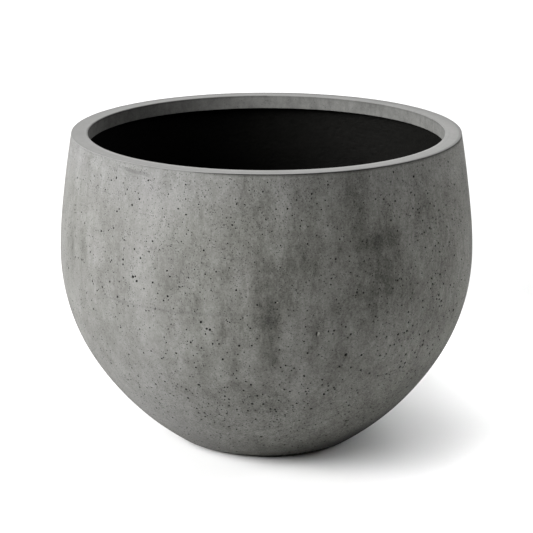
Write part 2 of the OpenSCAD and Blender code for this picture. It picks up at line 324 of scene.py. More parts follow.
# ------------------------------------------------------------------ pores of the cast face
# The larger ones at the front: azimuth, height and width in mm.
LARGE_PORES = [
    (-37.7, 300, 4.0), (-36.4, 295, 3.4), (-43.4, 266, 3.4), (-55.0, 235, 3.2),
    (-41.3, 321, 3.3), (-35.3, 328, 2.9), (-31.2, 297, 3.1), (-26.7, 281, 3.2),
    (-27.9, 274, 2.6), (-26.0, 309, 2.6), (-31.7, 354, 2.8), (-37.5, 339, 2.8),
    (-32.6, 339, 2.6), (-46.3, 285, 2.8), (-17.4, 249, 3.8), (-15.9, 240, 3.2),
    (-15.0, 239, 3.6), (-20.7, 217, 2.6), (-14.5, 218, 2.5), (-17.8, 210, 2.4),
    (-12.0, 195, 2.8), (-20.2, 178, 2.4), (-4.2, 244, 2.4), (-3.9, 218, 2.5),
    (-20.4, 149, 3.5), (-25.7, 122, 3.2), (-25.2, 138, 2.9), (-36.3, 137, 3.2),
    (-39.9, 109, 3.0), (-55.2, 150, 3.2), (-70.0, 276, 3.2), (2.4, 281, 3.0),
    (22.3, 197, 4.0), (27.2, 193, 2.8), (18.1, 236, 2.8), (23.0, 228, 2.8),
    (11.2, 205, 2.8), (20.9, 179, 2.7), (28.1, 168, 2.8), (16.3, 160, 2.6),
    (20.6, 144, 2.9), (20.1, 244, 2.4), (21.4, 240, 2.8), (17.9, 134, 3.3),
    (18.9, 140, 2.7), (14.8, 109, 3.1), (18.4, 337, 2.9), (24.2, 288, 2.9),
    (-4.5, 155, 3.0), (-6.8, 145, 2.7), (-2.8, 136, 2.8), (-12.8, 133, 2.8),
    (-4.5, 121, 3.1), (-1.0, 121, 2.9), (1.3, 112, 2.9), (2.8, 111, 2.9),
    (-6.0, 108, 2.9), (9.6, 121, 2.7), (5.3, 147, 2.6), (-3.8, 92, 2.6),
    (-14.1, 74, 3.0), (-2.1, 55, 3.4), (-1.2, 35, 2.6), (43.3, 158, 3.4),
    (45.0, 163, 3.2), (43.8, 178, 3.0), (50.7, 185, 3.2), (38.5, 215, 3.0),
    (41.7, 217, 3.0), (-67.2, 410, 2.8), (-46.2, 430, 2.9), (-48.3, 425, 2.5),
    (-39.3, 398, 2.9), (-50.7, 352, 3.0), (-36.9, 408, 2.8), (-44.8, 385, 2.8),
    (-66.5, 372, 2.4),
    (37.9, 200, 2.6), (40.8, 215, 2.4), (43.7, 178, 2.5), (42.9, 168, 2.6),
    (44.9, 156, 2.4), (48.0, 176, 2.6), (47.5, 205, 2.6), (51.5, 205, 3.0),
    (50.4, 192, 2.4), (53.7, 180, 2.4), (57.0, 177, 2.4), (59.0, 187, 2.6),
    (64.8, 220, 3.8), (53.7, 257, 3.0), (55.4, 246, 3.4), (54.2, 250, 2.4),
    (53.8, 287, 2.6), (50.4, 277, 2.6), (46.5, 257, 2.6), (41.7, 230, 2.4),
    (43.7, 223, 2.4), (43.7, 390, 2.3), (46.0, 382, 2.6), (50.4, 405, 2.6),
    (53.7, 412, 2.4), (52.8, 385, 2.6), (51.8, 370, 2.4), (49.9, 357, 2.6),
    (46.5, 352, 2.3), (47.2, 370, 2.3), (59.0, 380, 2.6), (61.9, 357, 2.6),
    (63.3, 437, 2.8), (65.7, 402, 2.8), (47.5, 332, 2.4), (33.6, 410, 2.3),
    (36.4, 432, 2.6), (58.5, 350, 3.0), (59.2, 327, 2.4), (61.9, 305, 2.6),
    (53.7, 127, 2.8), (55.2, 110, 3.4), (53.2, 140, 2.6), (48.9, 141, 2.5),
    (40.3, 72, 2.8), (57.6, 162, 3.2), (38.4, 152, 2.6), (39.3, 206, 2.3),
    (34.5, 215, 2.3), (36.4, 200, 2.4), (33.6, 187, 2.5), (31.6, 160, 2.6),
    (31.2, 218, 2.4), (26.8, 195, 2.4), (24.6, 175, 2.4), (18.7, 148, 2.5),
    (16.6, 151, 2.4), (5.3, 187, 2.4), (7.7, 182, 2.3), (3.3, 230, 2.3),
    (10.0, 223, 2.3), (3.8, 155, 2.3), (-8.6, 165, 2.3), (-13.5, 100, 2.6),
    (-24.0, 104, 2.5), (-31.0, 122, 2.6), (-45.0, 110, 2.8), (-48.0, 132, 2.5),
    (-58.0, 170, 2.6), (-62.0, 240, 2.6), (-64.0, 300, 2.4), (-22.0, 90, 2.6),
]
# Where the smaller ones crowd together: azimuth, height, half width, half height in mm, and how much more.
CROWDS = [
    (48, 378, 34, 30, 1.0), (45, 195, 50, 34, 0.9), (52, 250, 24, 24, 0.7),
    (33, 290, 34, 30, 0.6), (-12, 125, 60, 22, 0.8), (16, 145, 40, 22, 0.7),
    (-34, 330, 40, 24, 0.5), (-28, 290, 36, 26, 0.5), (-6, 360, 40, 40, 0.3),
    (-40, 140, 40, 30, 0.4), (10, 410, 60, 24, 0.4), (-18, 405, 50, 30, 0.3),
    (130, 300, 60, 50, 0.5), (-150, 200, 60, 50, 0.5), (170, 380, 50, 30, 0.5),
]
# The largest is a crack-like hollow, taller than wide.
TALL_PORE = (13.4, 233.5, 3.3, 9.2)
# These have broken away at their right, where the edge slopes and is clean.
BROKEN = [(13.4, 233.5), (2.4, 281)]
PORE_COUNT = 6150


def scatter_pores(face, rs):
    """Every pore of the face: azimuth (rad), arc length, half width, half height, tilt, depth, broken."""
    rows, cells = [], {}

    def fits(phi, s, a):
        r = float(face.at(np.array([s]))[0][0])
        key = (int(phi * 300 // 12), int(s // 12))
        for i in range(-2, 3):
            for j in range(-1, 2):
                for q in cells.get((key[0] + i, key[1] + j), ()):
                    if math.hypot((phi - q[0]) * r, s - q[1]) < a + q[2] + 0.42:
                        return False
        cells.setdefault(key, []).append((phi, s, a))
        return True

    az, z, w, h = TALL_PORE
    s = float(face.s_at(z))
    fits(math.radians(az), s, h / 2)
    rows.append((math.radians(az), s, w / 2, h / 2, 0.10, 2.5, True))
    for az, z, w in LARGE_PORES:
        s, phi = float(face.s_at(z)), math.radians(az)
        broken = (az, z) in BROKEN
        w *= 1.0 + 0.20 * float(ramp(az, 12.0, 34.0)) + 0.16 * float(ramp(260.0 - z, 0.0, 80.0)) * (az > -30)
        if fits(phi, s, w if broken else w / 2):
            k = rs.uniform(0.88, 1.1)
            tilt = rs.uniform(0, math.pi) * (not broken)
            rows.append((phi, s, w / 2 * k, w / 2 / k, tilt, min(2.3, 0.72 * w), broken))
    seam = math.pi - 6.0 / 125.0
    tries = 0
    while len(rows) < PORE_COUNT and tries < 90000:
        tries += 1
        phi, s = rs.uniform(-seam, seam), rs.uniform(4.5, face.length - 5.0)
        pick, size = rs.uniform(), rs.uniform()
        round_, tilt, lean = rs.uniform(0.82, 1.0), rs.uniform(0, math.pi), rs.uniform(0.8, 1.2)
        keep = rs.uniform()
        r, z = (float(v[0]) for v in face.at(np.array([s]))[:2])
        p = np.array([[r * math.sin(phi), -r * math.cos(phi), z]])
        crowd = 0.56 + 0.42 * float(noise(p, 80, 3, 41)[0])
        for az, cz, cw, ch, more in CROWDS:
            off = (math.degrees(phi) - az + 180) % 360 - 180
            crowd += 0.55 * more * math.exp(-0.7 * ((math.radians(off) * r / cw) ** 2 + ((z - cz) / ch) ** 2))
        crowd *= 0.80 + 0.20 * float(ramp(452.0 - z, 8.0, 150.0))
        if keep > crowd * r / 300.0:
            continue
        front = abs(phi) < math.radians(72)
        if pick < 0.60:
            w = 1.25 + 0.35 * size
        elif pick < 0.895:
            w = 1.60 + 0.50 * size
        elif pick < (0.988 if front else 0.980):
            w = 2.10 + 0.65 * size
        else:
            w = 2.7 + (0.8 if front else 1.5) * size ** 2
        w *= 1.0 + (0.24 * float(ramp(200.0 - z, 0.0, 110.0)) + 0.13 * float(ramp(math.degrees(phi), 8.0, 40.0))) * front
        a, b = w / 2 / round_, w / 2 * round_
        if fits(phi, s, a):
            rows.append((phi, s, a, b, tilt, min(2.4, 0.78 * w * lean), False))
    return rows


# ------------------------------------------------------------------ outer face of the bowl
def face_relief(p):
    """How far the cast face stands off its true curve, in mm: slow waves from the mould."""
    tall = p * (1.0, 1.0, 0.5)
    return 0.30 * noise(tall, 105, 2, 3) + 0.10 * noise(tall, 26, 2, 5)


def make_face():
    rs = np.random.RandomState(20)
    face = Wall(0.0, FACE_Z - 0.5, BASE_Z, 16.0)
    step, flat = 6.7, 300.0
    n_rows = int(round(face.length / step))
    pores = scatter_pores(face, rs)

    # rows of points down the face; the seam is at the back
    phis, ss, kinds = [], [], []          # kind: -1 inside, -2 seam or border
    left, right = [], []
    first_row = last_row = None
    count = 0
    for j in range(n_rows + 1):
        s = face.length * j / n_rows
        r = float(face.at(np.array([s]))[0][0])
        n = int(round(TAU * r / step))
        border = j in (0, n_rows)
        if border or j % 2 == 0:
            row = -math.pi + TAU * np.arange(1, n) / n
        else:
            row = -math.pi + TAU * (np.arange(n) + 0.5) / n
        if not border:
            row = row + rs.uniform(-0.16, 0.16, len(row)) * step / r
        row = np.concatenate([[-math.pi], row, [math.pi]])
        sj = np.full(len(row), s)
        if not border:
            sj[1:-1] += rs.uniform(-0.16, 0.16, len(row) - 2) * step
        phis.append(row)
        ss.append(sj)
        kind = np.full(len(row), -1)
        if border:
            kind[:] = -2
        kind[0] = kind[-1] = -2
        kinds.append(kind)
        left.append(count)
        right.append(count + len(row) - 1)
        if j == 0:
            first_row = np.arange(count, count + len(row) - 1)
        if j == n_rows:
            last_row = np.arange(count, count + len(row) - 1)
        count += len(row)
    phis, ss, kinds = np.concatenate(phis), np.concatenate(ss), np.concatenate(kinds)
    seam_of = {b: a for a, b in zip(left, right)}

    # clear the points that a pore takes the place of
    tree = KDTree(count)
    r_all = face.at(ss)[0]
    for i in range(count):
        if kinds[i] == -1:
            tree.insert((phis[i] * flat, ss[i], 0.0), i)
    tree.balance()
    gone = np.zeros(count, bool)
    for phi, s, a, b, tilt, depth, broken in pores:
        r = float(face.at(np.array([s]))[0][0])
        reach = max(a * (2.4 if broken else 1.0), b) + 1.2
        for co, i, dist in tree.find_range((phi * flat, s, 0.0), reach * flat / r * 1.05):
            if math.hypot((phis[i] - phi) * r, ss[i] - s) < reach:
                gone[i] = True

    # pores: an outline, one or two rings inside it and a middle point
    dom, depth_at, pore_at, pit_at, edges = [], [], [], [], []
    remap = -np.ones(count, np.int64)
    for i in range(count):
        if not gone[i]:
            remap[i] = len(dom)
            dom.append((phis[i], ss[i]))
            depth_at.append(0.0)
            pore_at.append(-1)
            pit_at.append(0.0)
    for k, (phi, s, a, b, tilt, depth, broken) in enumerate(pores):
        r = float(face.at(np.array([s]))[0][0])
        w = 2 * math.sqrt(a * b)
        if w < 1.75:
            n, rings = 6, ()
        elif w < 2.1:
            n, rings = 6, ((0.70, 0.80),)
        elif w < 2.75:
            n, rings = 8, ((0.76, 0.74),)
        else:
            n, rings = 13, ((0.88, 0.50), (0.60, 0.90))
        wob = 1 + rs.uniform(-0.13, 0.13, n) * (1.0 if w > 1.85 else 0.6)
        turn = rs.uniform(0, TAU)
        lean = rs.uniform(-0.16, 0.16, 2)
        th = turn + TAU * np.arange(n) / n
        for share, deep in ((1.0, 0.0),) + rings:
            x, y = a * wob * np.cos(th) * share, b * wob * np.sin(th) * share
            clean = broken * ramp(np.cos(th), 0.05, 0.60)
            x = x * (1.0 + 1.15 * clean * (deep == 0) + 0.15 * clean * (0 < deep < 0.6))
            y = y * (1.0 - 0.18 * clean * (deep == 0))
            x, y = x * math.cos(tilt) - y * math.sin(tilt), x * math.sin(tilt) + y * math.cos(tilt)
            x, y = x + lean[0] * a * (1 - share), y + lean[1] * b * (1 - share)
            start = len(dom)
            for q in range(n):
                dom.append((phi + x[q] / r, s + y[q]))
                depth_at.append(depth * deep)
                pore_at.append(k)
                # the pore values darken the colour toward each pore's middle, partly dust and partly painted shade in
                # its hollow; on a broken pore's clean slope they turn negative and lighten it, partly fresh grain and
                # partly a painted highlight where the slope faces the light
                dark = 0.5 if deep == 0 else (0.8 if deep < 0.6 else 1.0)
                pit_at.append(dark * (1.0 - clean[q] * (deep < 0.6)) - 1.6 * clean[q] * (deep < 0.6))
                if deep == 0:
                    edges.append((start + q, start + (q + 1) % n))
        dom.append((phi + lean[0] * a / r, s + lean[1] * b))
        depth_at.append(depth * (1.0 if rings else 0.9))
        pore_at.append(k)
        pit_at.append(1.0)
    dom = np.array(dom)
    verts2 = [Vector((p * flat, -s)) for p, s in dom]
    out = delaunay_2d_cdt(verts2, edges, [], 0, 1e-6, True)
    origin = [o[0] if len(o) else -1 for o in out[3]]
    if -1 in origin:
        raise RuntimeError("two pores of the face cross")
    origin = np.array(origin)
    tris = origin[np.array([f[:] for f in out[2]], np.int64)]
    a_, b_, c_ = (dom[tris[:, k]] for k in range(3))
    area = (b_[:, 0] - a_[:, 0]) * (c_[:, 1] - a_[:, 1]) - (c_[:, 0] - a_[:, 0]) * (b_[:, 1] - a_[:, 1])
    tris = tris[np.abs(area) > 1e-9]

    depth_at, pore_at, pit_at = np.array(depth_at), np.array(pore_at), np.array(pit_at)
    r, z, nr, nz = face.at(np.clip(dom[:, 1], 0, face.length))
    sn, cs = np.sin(dom[:, 0]), -np.cos(dom[:, 0])
    true = np.stack([r * sn, r * cs, z], 1)
    nrm = np.stack([nr * sn, nr * cs, nz], 1)
    along = np.stack([-cs, sn, np.zeros_like(sn)], 1)          # towards larger azimuth
    down = np.cross(nrm, along)
    fade = lambda s: ramp(s, 0.0, 14.0) * ramp(face.length - s, 0.0, 10.0)

    def relief(p, s):
        return face_relief(p) * fade(s)

    d0 = relief(true, dom[:, 1])
    e = 1.5
    du = (relief(true + along * e, dom[:, 1]) - relief(true - along * e, dom[:, 1])) / (2 * e)
    sign = np.sign((down[:, 2] < 0) - 0.5)
    ds = (relief(true + down * e, dom[:, 1] + sign * e) - relief(true - down * e, dom[:, 1] - sign * e)) / (2 * e)
    smooth_n = nrm - along * du[:, None] - down * ds[:, None]
    smooth_n /= np.linalg.norm(smooth_n, axis=1)[:, None]
    pts = true + nrm * (d0 - depth_at)[:, None]

    build = Build()
    ids = build.add(pts)
    weld = ids.copy()
    for b, a in seam_of.items():
        weld[remap[b]] = remap[a]

    # texture map: the front half above, the back half below it, hidden faces in a strip
    def uv_outer(tri):
        phi, s = dom[tri][:, :, 0], dom[tri][:, :, 1]
        mid = phi.mean(1)
        front = np.abs(mid) <= math.pi / 2
        back_phi = np.where(phi < 0, phi + TAU, phi)
        u = np.where(front[:, None], (phi + math.pi / 2) / math.pi, (back_phi - math.pi / 2) / math.pi)
        v = 1 - s / face.length
        v = np.where(front[:, None], 0.565 + 0.43 * v, 0.125 + 0.43 * v)
        return np.stack([0.008 + 0.984 * u, v], 2)

    same = (pore_at[tris] == pore_at[tris][:, :1]).all(1) & (pore_at[tris][:, 0] >= 0)
    outward = lambda p: np.stack([p[:, 0], p[:, 1], (p[:, 2] - 250.0) * 1.0], 1)
    build.faces(weld[tris[~same]], 0, uv_outer(tris[~same]), outward)
    build.faces(weld[tris[same]], 1, uv_outer(tris[same]), outward)
    n_smooth = int((~same).sum())

    def spare(tri, all_pts, u0, v0, u1, v1):
        """Map for hidden faces: by azimuth and height into one small rectangle."""
        p = all_pts[tri]
        phi = np.arctan2(p[:, :, 0], -p[:, :, 1])
        mid = phi.mean(1, keepdims=True)
        phi = np.where((phi - mid) > 3, phi - TAU, np.where((phi - mid) < -3, phi + TAU, phi))
        h = np.hypot(p[:, :, 0], p[:, :, 1]) * 0.4 + p[:, :, 2]
        h = (h - h.min()) / max(np.ptp(h), 1e-6)
        u = np.clip((phi + math.pi) / TAU, 0, 1)
        return np.stack([u0 + (u1 - u0) * u, v0 + (v1 - v0) * h], 2)

    # top edge: a small arris, then the level land under the rim's nose
    top = weld[remap[first_row]]
    n_top = len(top)
    r_top = float(face.at(np.array([0.0]))[0][0])
    arris = build.add(ring(r_top - 0.5, FACE_Z, n_top))
    mid_a = build.add(ring(r_top - 0.14, FACE_Z - 0.15, n_top))
    inner = Wall(3.0, FACE_Z, BASE_Z + 3.0, 13.0)
    n_in, m_in = 128, 30
    s_in = np.linspace(0, inner.length, m_in)
    ri, zi = inner.at(s_in)[:2]
    grid = [build.add(ring(a, b, n_in)) for a, b in zip(ri, zi)]
    up = lambda p: np.tile((0.0, 0.0, 1.0), (len(p), 1)) + p * (0.004, 0.004, 0.0)

    def group(tri, number, box, toward):
        everything = np.concatenate(build.points)
        tri = np.array(tri)
        build.faces(tri, number, spare(tri, everything, *box), toward)

    group(zip_rings(top, mid_a) + zip_rings(mid_a, arris), 2, (0.26, 0.100, 0.99, 0.104), up)
    group(zip_rings(arris, grid[0]), 3, (0.26, 0.106, 0.99, 0.112), up)
    inward = lambda p: -outward(p)
    tri = []
    for a, b in zip(grid[:-1], grid[1:]):
        tri += zip_rings(a, b)
    group(tri, 4, (0.26, 0.004, 0.99, 0.060), inward)
    hole_top = build.add(ring(15.5, BASE_Z + 3.0, 60))
    group(zip_rings(grid[-1], hole_top), 5, (0.26, 0.064, 0.99, 0.072), up)
    hole_low = build.add(ring(15.5, BASE_Z + 0.6, 60))
    hole_edge = build.add(ring(16.1, BASE_Z, 60))
    group(zip_rings(hole_top, hole_low), 6, (0.26, 0.076, 0.99, 0.080),
          lambda p: -p * (1.0, 1.0, 0.0))
    group(zip_rings(hole_low, hole_edge), 7, (0.26, 0.083, 0.99, 0.086),
          lambda p: np.concatenate([-p[:, :2], -np.full((len(p), 1), 20.0)], 1))

    # underside, with four recesses for the pads
    low = weld[remap[last_row]]
    everything = np.concatenate(build.points)
    plan, back = [], []
    for i in low:
        plan.append(everything[i][:2])
        back.append(i)
    for i in hole_edge:
        plan.append(everything[i][:2])
        back.append(i)
    circles, n_pad = [], 72
    for k in range(4):
        a = math.radians(45 + 90 * k)
        cx, cy = 92 * math.cos(a), 92 * math.sin(a)
        th = TAU * np.arange(n_pad) / n_pad
        made = build.add(np.stack([cx + 15.4 * np.cos(th), cy + 15.4 * np.sin(th), np.full(n_pad, BASE_Z)], 1))
        circles.append((cx, cy, made))
        start = len(plan)
        for i, t in zip(made, th):
            plan.append((cx + 15.4 * math.cos(t), cy + 15.4 * math.sin(t)))
            back.append(i)
    rings = []
    for rr in (24, 33, 42, 51, 60, 69, 78, 87, 96, 105, 114, 120.5):
        n = int(round(TAU * rr / 8.5))
        phi = TAU * (np.arange(n) + 0.5 * (len(rings) % 2)) / n
        x, y = rr * np.cos(phi), rr * np.sin(phi)
        ok = np.ones(n, bool)
        for cx, cy, _ in circles:
            ok &= np.hypot(x - cx, y - cy) > 18.5
        pz = np.stack([x[ok], y[ok], np.full(int(ok.sum()), BASE_Z)], 1)
        pz[:, 2] += 0.16 * noise(pz, 38, 2, 8) * ramp(np.hypot(pz[:, 0], pz[:, 1]), 18, 34) * ramp(124 - np.hypot(pz[:, 0], pz[:, 1]), 0, 20)
        made = build.add(pz)
        rings.append(made)
        for i, q in zip(made, pz):
            plan.append((q[0], q[1]))
            back.append(i)
    e2 = [(i, (i + 1) % len(low)) for i in range(len(low))]
    e2 += [(len(low) + i, len(low) + (i + 1) % 60) for i in range(60)]
    base_at = len(low) + 60
    for k in range(4):
        e2 += [(base_at + k * n_pad + i, base_at + k * n_pad + (i + 1) % n_pad) for i in range(n_pad)]
    out = delaunay_2d_cdt([Vector((float(x), float(y))) for x, y in plan], e2, [], 0, 1e-6, True)
    back = np.array(back)
    plan = np.array([(float(x), float(y)) for x, y in plan])
    origin = np.array([o[0] for o in out[3]])
    tri = origin[np.array([f[:] for f in out[2]], np.int64)]
    mid = plan[tri].mean(1)
    ok = np.hypot(mid[:, 0], mid[:, 1]) > 16.05
    for cx, cy, _ in circles:
        ok &= np.hypot(mid[:, 0] - cx, mid[:, 1] - cy) > 15.38
    on_low = (tri < len(low)).all(1)
    ok &= ~(on_low & (np.hypot(mid[:, 0], mid[:, 1]) > 124.9))
    tri = tri[ok]
    uv = np.stack([0.125 + plan[tri][:, :, 0] / 125.6 * 0.058, 0.061 + plan[tri][:, :, 1] / 125.6 * 0.058], 2)
    downward = lambda p: np.tile((0.0, 0.0, -1.0), (len(p), 1))
    build.faces(back[tri], 8, uv, downward)
    for k, (cx, cy, made) in enumerate(circles):
        th = TAU * np.arange(n_pad) / n_pad
        at = lambda rr, zz: build.add(np.stack([cx + rr * np.cos(th), cy + rr * np.sin(th), np.full(n_pad, zz)], 1))
        lip, roof, roof2 = at(15.05, BASE_Z + 0.35), at(15.05, BASE_Z + 2.0), at(9.0, BASE_Z + 2.0)
        middle = build.add([(cx, cy, BASE_Z + 2.0)])
        centre = np.array([cx, cy, 0.0])
        u0 = 0.012 + 0.06 * k / 4
        box = (0.004, 0.004 + 0.027 * k, 0.055, 0.024 + 0.027 * k)
        group(zip_rings(made, lip), 9, box, lambda p: (centre - p) * (1, 1, 0) + np.array((0, 0, -9.0)))
        group(zip_rings(lip, roof), 10, box, lambda p: (centre - p) * (1, 1, 0))
        tri = zip_rings(roof, roof2) + [(roof2[i], roof2[(i + 1) % n_pad], middle[0]) for i in range(n_pad)]
        group(tri, 11, box, downward)

    me = build.mesh("face_cast")
    total = len(me.vertices)
    tone = np.zeros(total)
    everything = np.concatenate(build.points)
    tone[:] = cloud_tone(everything)
    # painted shade: the tone is darkened on the face's top edge under the rim's nose, less at the left where paste
    # closes the gap
    near = ramp(everything[:, 2], 452.45, 452.85) * ramp(np.hypot(everything[:, 0], everything[:, 1]), 279.0, 280.0)
    azimuth = np.degrees(np.arctan2(everything[:, 0], -everything[:, 1]))
    shut = ramp(azimuth, -175.0, -140.0) * ramp(-4.0 - azimuth, 0.0, 26.0)
    tone -= 2.2 * near * (1.0 - 0.85 * shut)
    point(me, "open", 1.0 - shut)
    # painted shading: the mottling's contrast stands in for relief shade under grazing light, so it is calmer at the
    # left than at the right, and lower near the top and the foot
    painted_relief_contrast = 1.0 + 0.66 * ramp(azimuth, -42.0, 10.0) * ramp(178.0 - azimuth, 0.0, 60.0) + 0.25 * ramp(-90.0 - azimuth, 0.0, 40.0)
    painted_relief_contrast -= 0.18 * ramp(azimuth, 20.0, 45.0) * ramp(100.0 - azimuth, 0.0, 30.0)
    painted_relief_contrast -= 0.10 * ramp(azimuth, 28.0, 50.0) * ramp(100.0 - azimuth, 0.0, 30.0)
    painted_relief_contrast *= 1.0 - 0.18 * ramp(everything[:, 2], 370.0, 435.0) - 0.12 * ramp(150.0 - everything[:, 2], 0.0, 50.0)
    point(me, "painted_relief_contrast", painted_relief_contrast)
    # painted shading: the fine grain's contrast is raised toward the right and low down, standing in for relief shade
    painted_grain_contrast = 0.92 + 0.74 * ramp(azimuth, -42.0, 6.0) * ramp(178.0 - azimuth, 0.0, 60.0) + 0.25 * ramp(-90.0 - azimuth, 0.0, 40.0)
    painted_grain_contrast += 0.36 * ramp(azimuth, 12.0, 55.0) * ramp(150.0 - azimuth, 0.0, 40.0)
    painted_grain_contrast += 0.68 * ramp(185.0 - everything[:, 2], 0.0, 100.0)
    point(me, "painted_grain_contrast", painted_grain_contrast)
    # painted shade: the foot, and the lower part of the right side, are made a little darker, and the top of the right
    # side a little lighter, standing in for how the light falls there
    high = everything[:, 2] + 9.0 * noise(everything, 60, 3, 71)
    painted_shade = 0.27 * ramp(azimuth, 0.0, 55.0) * ramp(140.0 - azimuth, 0.0, 50.0) * ramp(190.0 - high, 0.0, 120.0)
    painted_shade += 0.26 * ramp(62.0 - high, 0.0, 42.0) + 0.025 * ramp(azimuth, -20.0, 5.0) * ramp(48.0 - azimuth, 0.0, 25.0)
    painted_shade += 0.36 * ramp(azimuth, 44.0, 75.0) * ramp(140.0 - azimuth, 0.0, 50.0) * ramp(130.0 - high, 0.0, 70.0)
    painted_shade += 0.16 * ramp(azimuth, 42.0, 62.0) * ramp(140.0 - azimuth, 0.0, 50.0) * ramp(198.0 - high, 0.0, 60.0) * (1.0 - 0.6 * ramp(130.0 - high, 0.0, 40.0))
    painted_shade += 0.12 * ramp(azimuth, 30.0, 50.0) * ramp(66.0 - azimuth, 0.0, 16.0) * ramp(130.0 - high, 0.0, 60.0)
    painted_shade += 0.13 * ramp(azimuth, -4.0, 14.0) * ramp(90.0 - azimuth, 0.0, 25.0) * ramp(60.0 - high, 0.0, 36.0)
    painted_shade += 0.05 * ramp(azimuth, 36.0, 50.0) * ramp(90.0 - azimuth, 0.0, 10.0) * ramp(290.0 - high, 0.0, 50.0) * ramp(high, 150.0, 200.0)
    painted_shade += 0.09 * ramp(azimuth, 52.0, 66.0) * ramp(140.0 - azimuth, 0.0, 50.0) * ramp(240.0 - high, 0.0, 30.0)
    painted_shade += 0.10 * ramp(azimuth, 40.0, 52.0) * ramp(100.0 - azimuth, 0.0, 30.0) * ramp(72.0 - high, 0.0, 30.0)
    painted_shade += 0.07 * ramp(azimuth, 31.0, 38.0) * ramp(50.0 - azimuth, 0.0, 8.0) * ramp(205.0 - high, 0.0, 25.0) * ramp(high, 105.0, 135.0)
    painted_shade -= 0.15 * ramp(azimuth, 50.0, 72.0) * ramp(140.0 - azimuth, 0.0, 50.0) * ramp(high, 390.0, 428.0)
    painted_shade += 0.06 * ramp(-62.0 - azimuth, 0.0, 16.0) * ramp(azimuth, -140.0, -110.0) * ramp(330.0 - high, 0.0, 60.0)
    point(me, "painted_shade", painted_shade)
    # the paste is warmer where more of the form oil stayed, and neutral under the rim
    warm = 0.36 + 0.50 * ramp(azimuth, -45.0, 0.0) * ramp(178.0 - azimuth, 0.0, 60.0)
    warm += 0.16 * ramp(azimuth, 0.0, 40.0) * ramp(178.0 - azimuth, 0.0, 60.0) - 0.36 * ramp(everything[:, 2], 375.0, 445.0)
    point(me, "warm", np.clip(warm, 0.0, 1.0))
    point(me, "tone", tone)
    point(me, "wiped", ramp(azimuth, -100.0, -72.0) * ramp(-22.0 - azimuth, 0.0, 16.0))
    off = everything[:, 2] - (446.0 - 0.37 * (azimuth + 45.2))
    point(me, "swipe", off / (0.62 + 0.65 * ramp(azimuth, -48.0, -37.5)))
    point(me, "swiped", ramp(azimuth, -54.0, -38.5) * ramp(-32.6 - azimuth, 0.0, 2.4))
    point(me, "pause", ramp(azimuth, -58.0, -44.0) * ramp(-2.0 - azimuth, 0.0, 10.0))

    # normals: the true curve on the face, the mesh's own in the pores and elsewhere
    groups = np.concatenate(build.groups)
    edge_of = np.zeros(len(me.loops), np.int64)
    me.loops.foreach_get("edge_index", edge_of)
    g_of_loop = np.repeat(groups, 3)
    lowest = np.full(len(me.edges), 99)
    highest = np.full(len(me.edges), -1)
    np.minimum.at(lowest, edge_of, g_of_loop)
    np.maximum.at(highest, edge_of, g_of_loop)
    sharp = lowest != highest
    me.edges.foreach_set("use_edge_sharp", sharp) if hasattr(me.edges[0], "use_edge_sharp") else None
    loop_vert = np.zeros(len(me.loops), np.int64)
    me.loops.foreach_get("vertex_index", loop_vert)
    depth_of = np.zeros(total)
    depth_of[: len(pit_at)] = pit_at
    attr = me.attributes.new("pore", "FLOAT", "CORNER")
    attr.data.foreach_set("value", np.where(g_of_loop == 1, depth_of[loop_vert], 0.0).astype(np.float32))
    custom = np.zeros((len(me.loops), 3))
    on_face = g_of_loop == 0
    custom[on_face] = smooth_n[loop_vert[on_face]]
    me.normals_split_custom_set([tuple(v) for v in custom])
    me.update()
    print("face: pores", len(pores), "triangles", len(me.polygons), "smooth", n_smooth)
    return new_object("face_cast", me)


face_cast = make_face()
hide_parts("face_coat")
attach(face_cast, "bowl")


# ------------------------------------------------------------------ turned shapes
def rounded(corners, steps=5):
    """Outline with its corners rounded: each corner is (r, z, radius), closed."""
    out, n = [], len(corners)
    for i, (x, y, rad) in enumerate(corners):
        p = np.array([x, y], float)
        if rad <= 0:
            out.append(p)
            continue
        a = np.array(corners[i - 1][:2], float) - p
        b = np.array(corners[(i + 1) % n][:2], float) - p
        la, lb = np.linalg.norm(a), np.linalg.norm(b)
        a, b = a / la, b / lb
        half = math.acos(max(-1.0, min(1.0, float(a @ b)))) / 2
        back = min(rad / math.tan(half), 0.49 * la, 0.49 * lb)
        rad = back * math.tan(half)
        mid = (a + b) / np.linalg.norm(a + b)
        c = p + mid * rad / math.sin(half)
        p0, p1 = p + a * back - c, p + b * back - c
        t0, t1 = math.atan2(p0[1], p0[0]), math.atan2(p1[1], p1[0])
        turn = (t1 - t0 + math.pi) % TAU - math.pi
        for k in range(steps + 1):
            t = t0 + turn * k / steps
            out.append(c + rad * np.array([math.cos(t), math.sin(t)]))
    return out


def even(points, longest):
    """Adds points so that no side is over the given length."""
    out, n = [], len(points)
    for i in range(n):
        a, b = np.array(points[i]), np.array(points[(i + 1) % n])
        m = max(1, int(math.ceil(np.linalg.norm(b - a) / longest)))
        out += [a + (b - a) * k / m for k in range(m)]
    return out


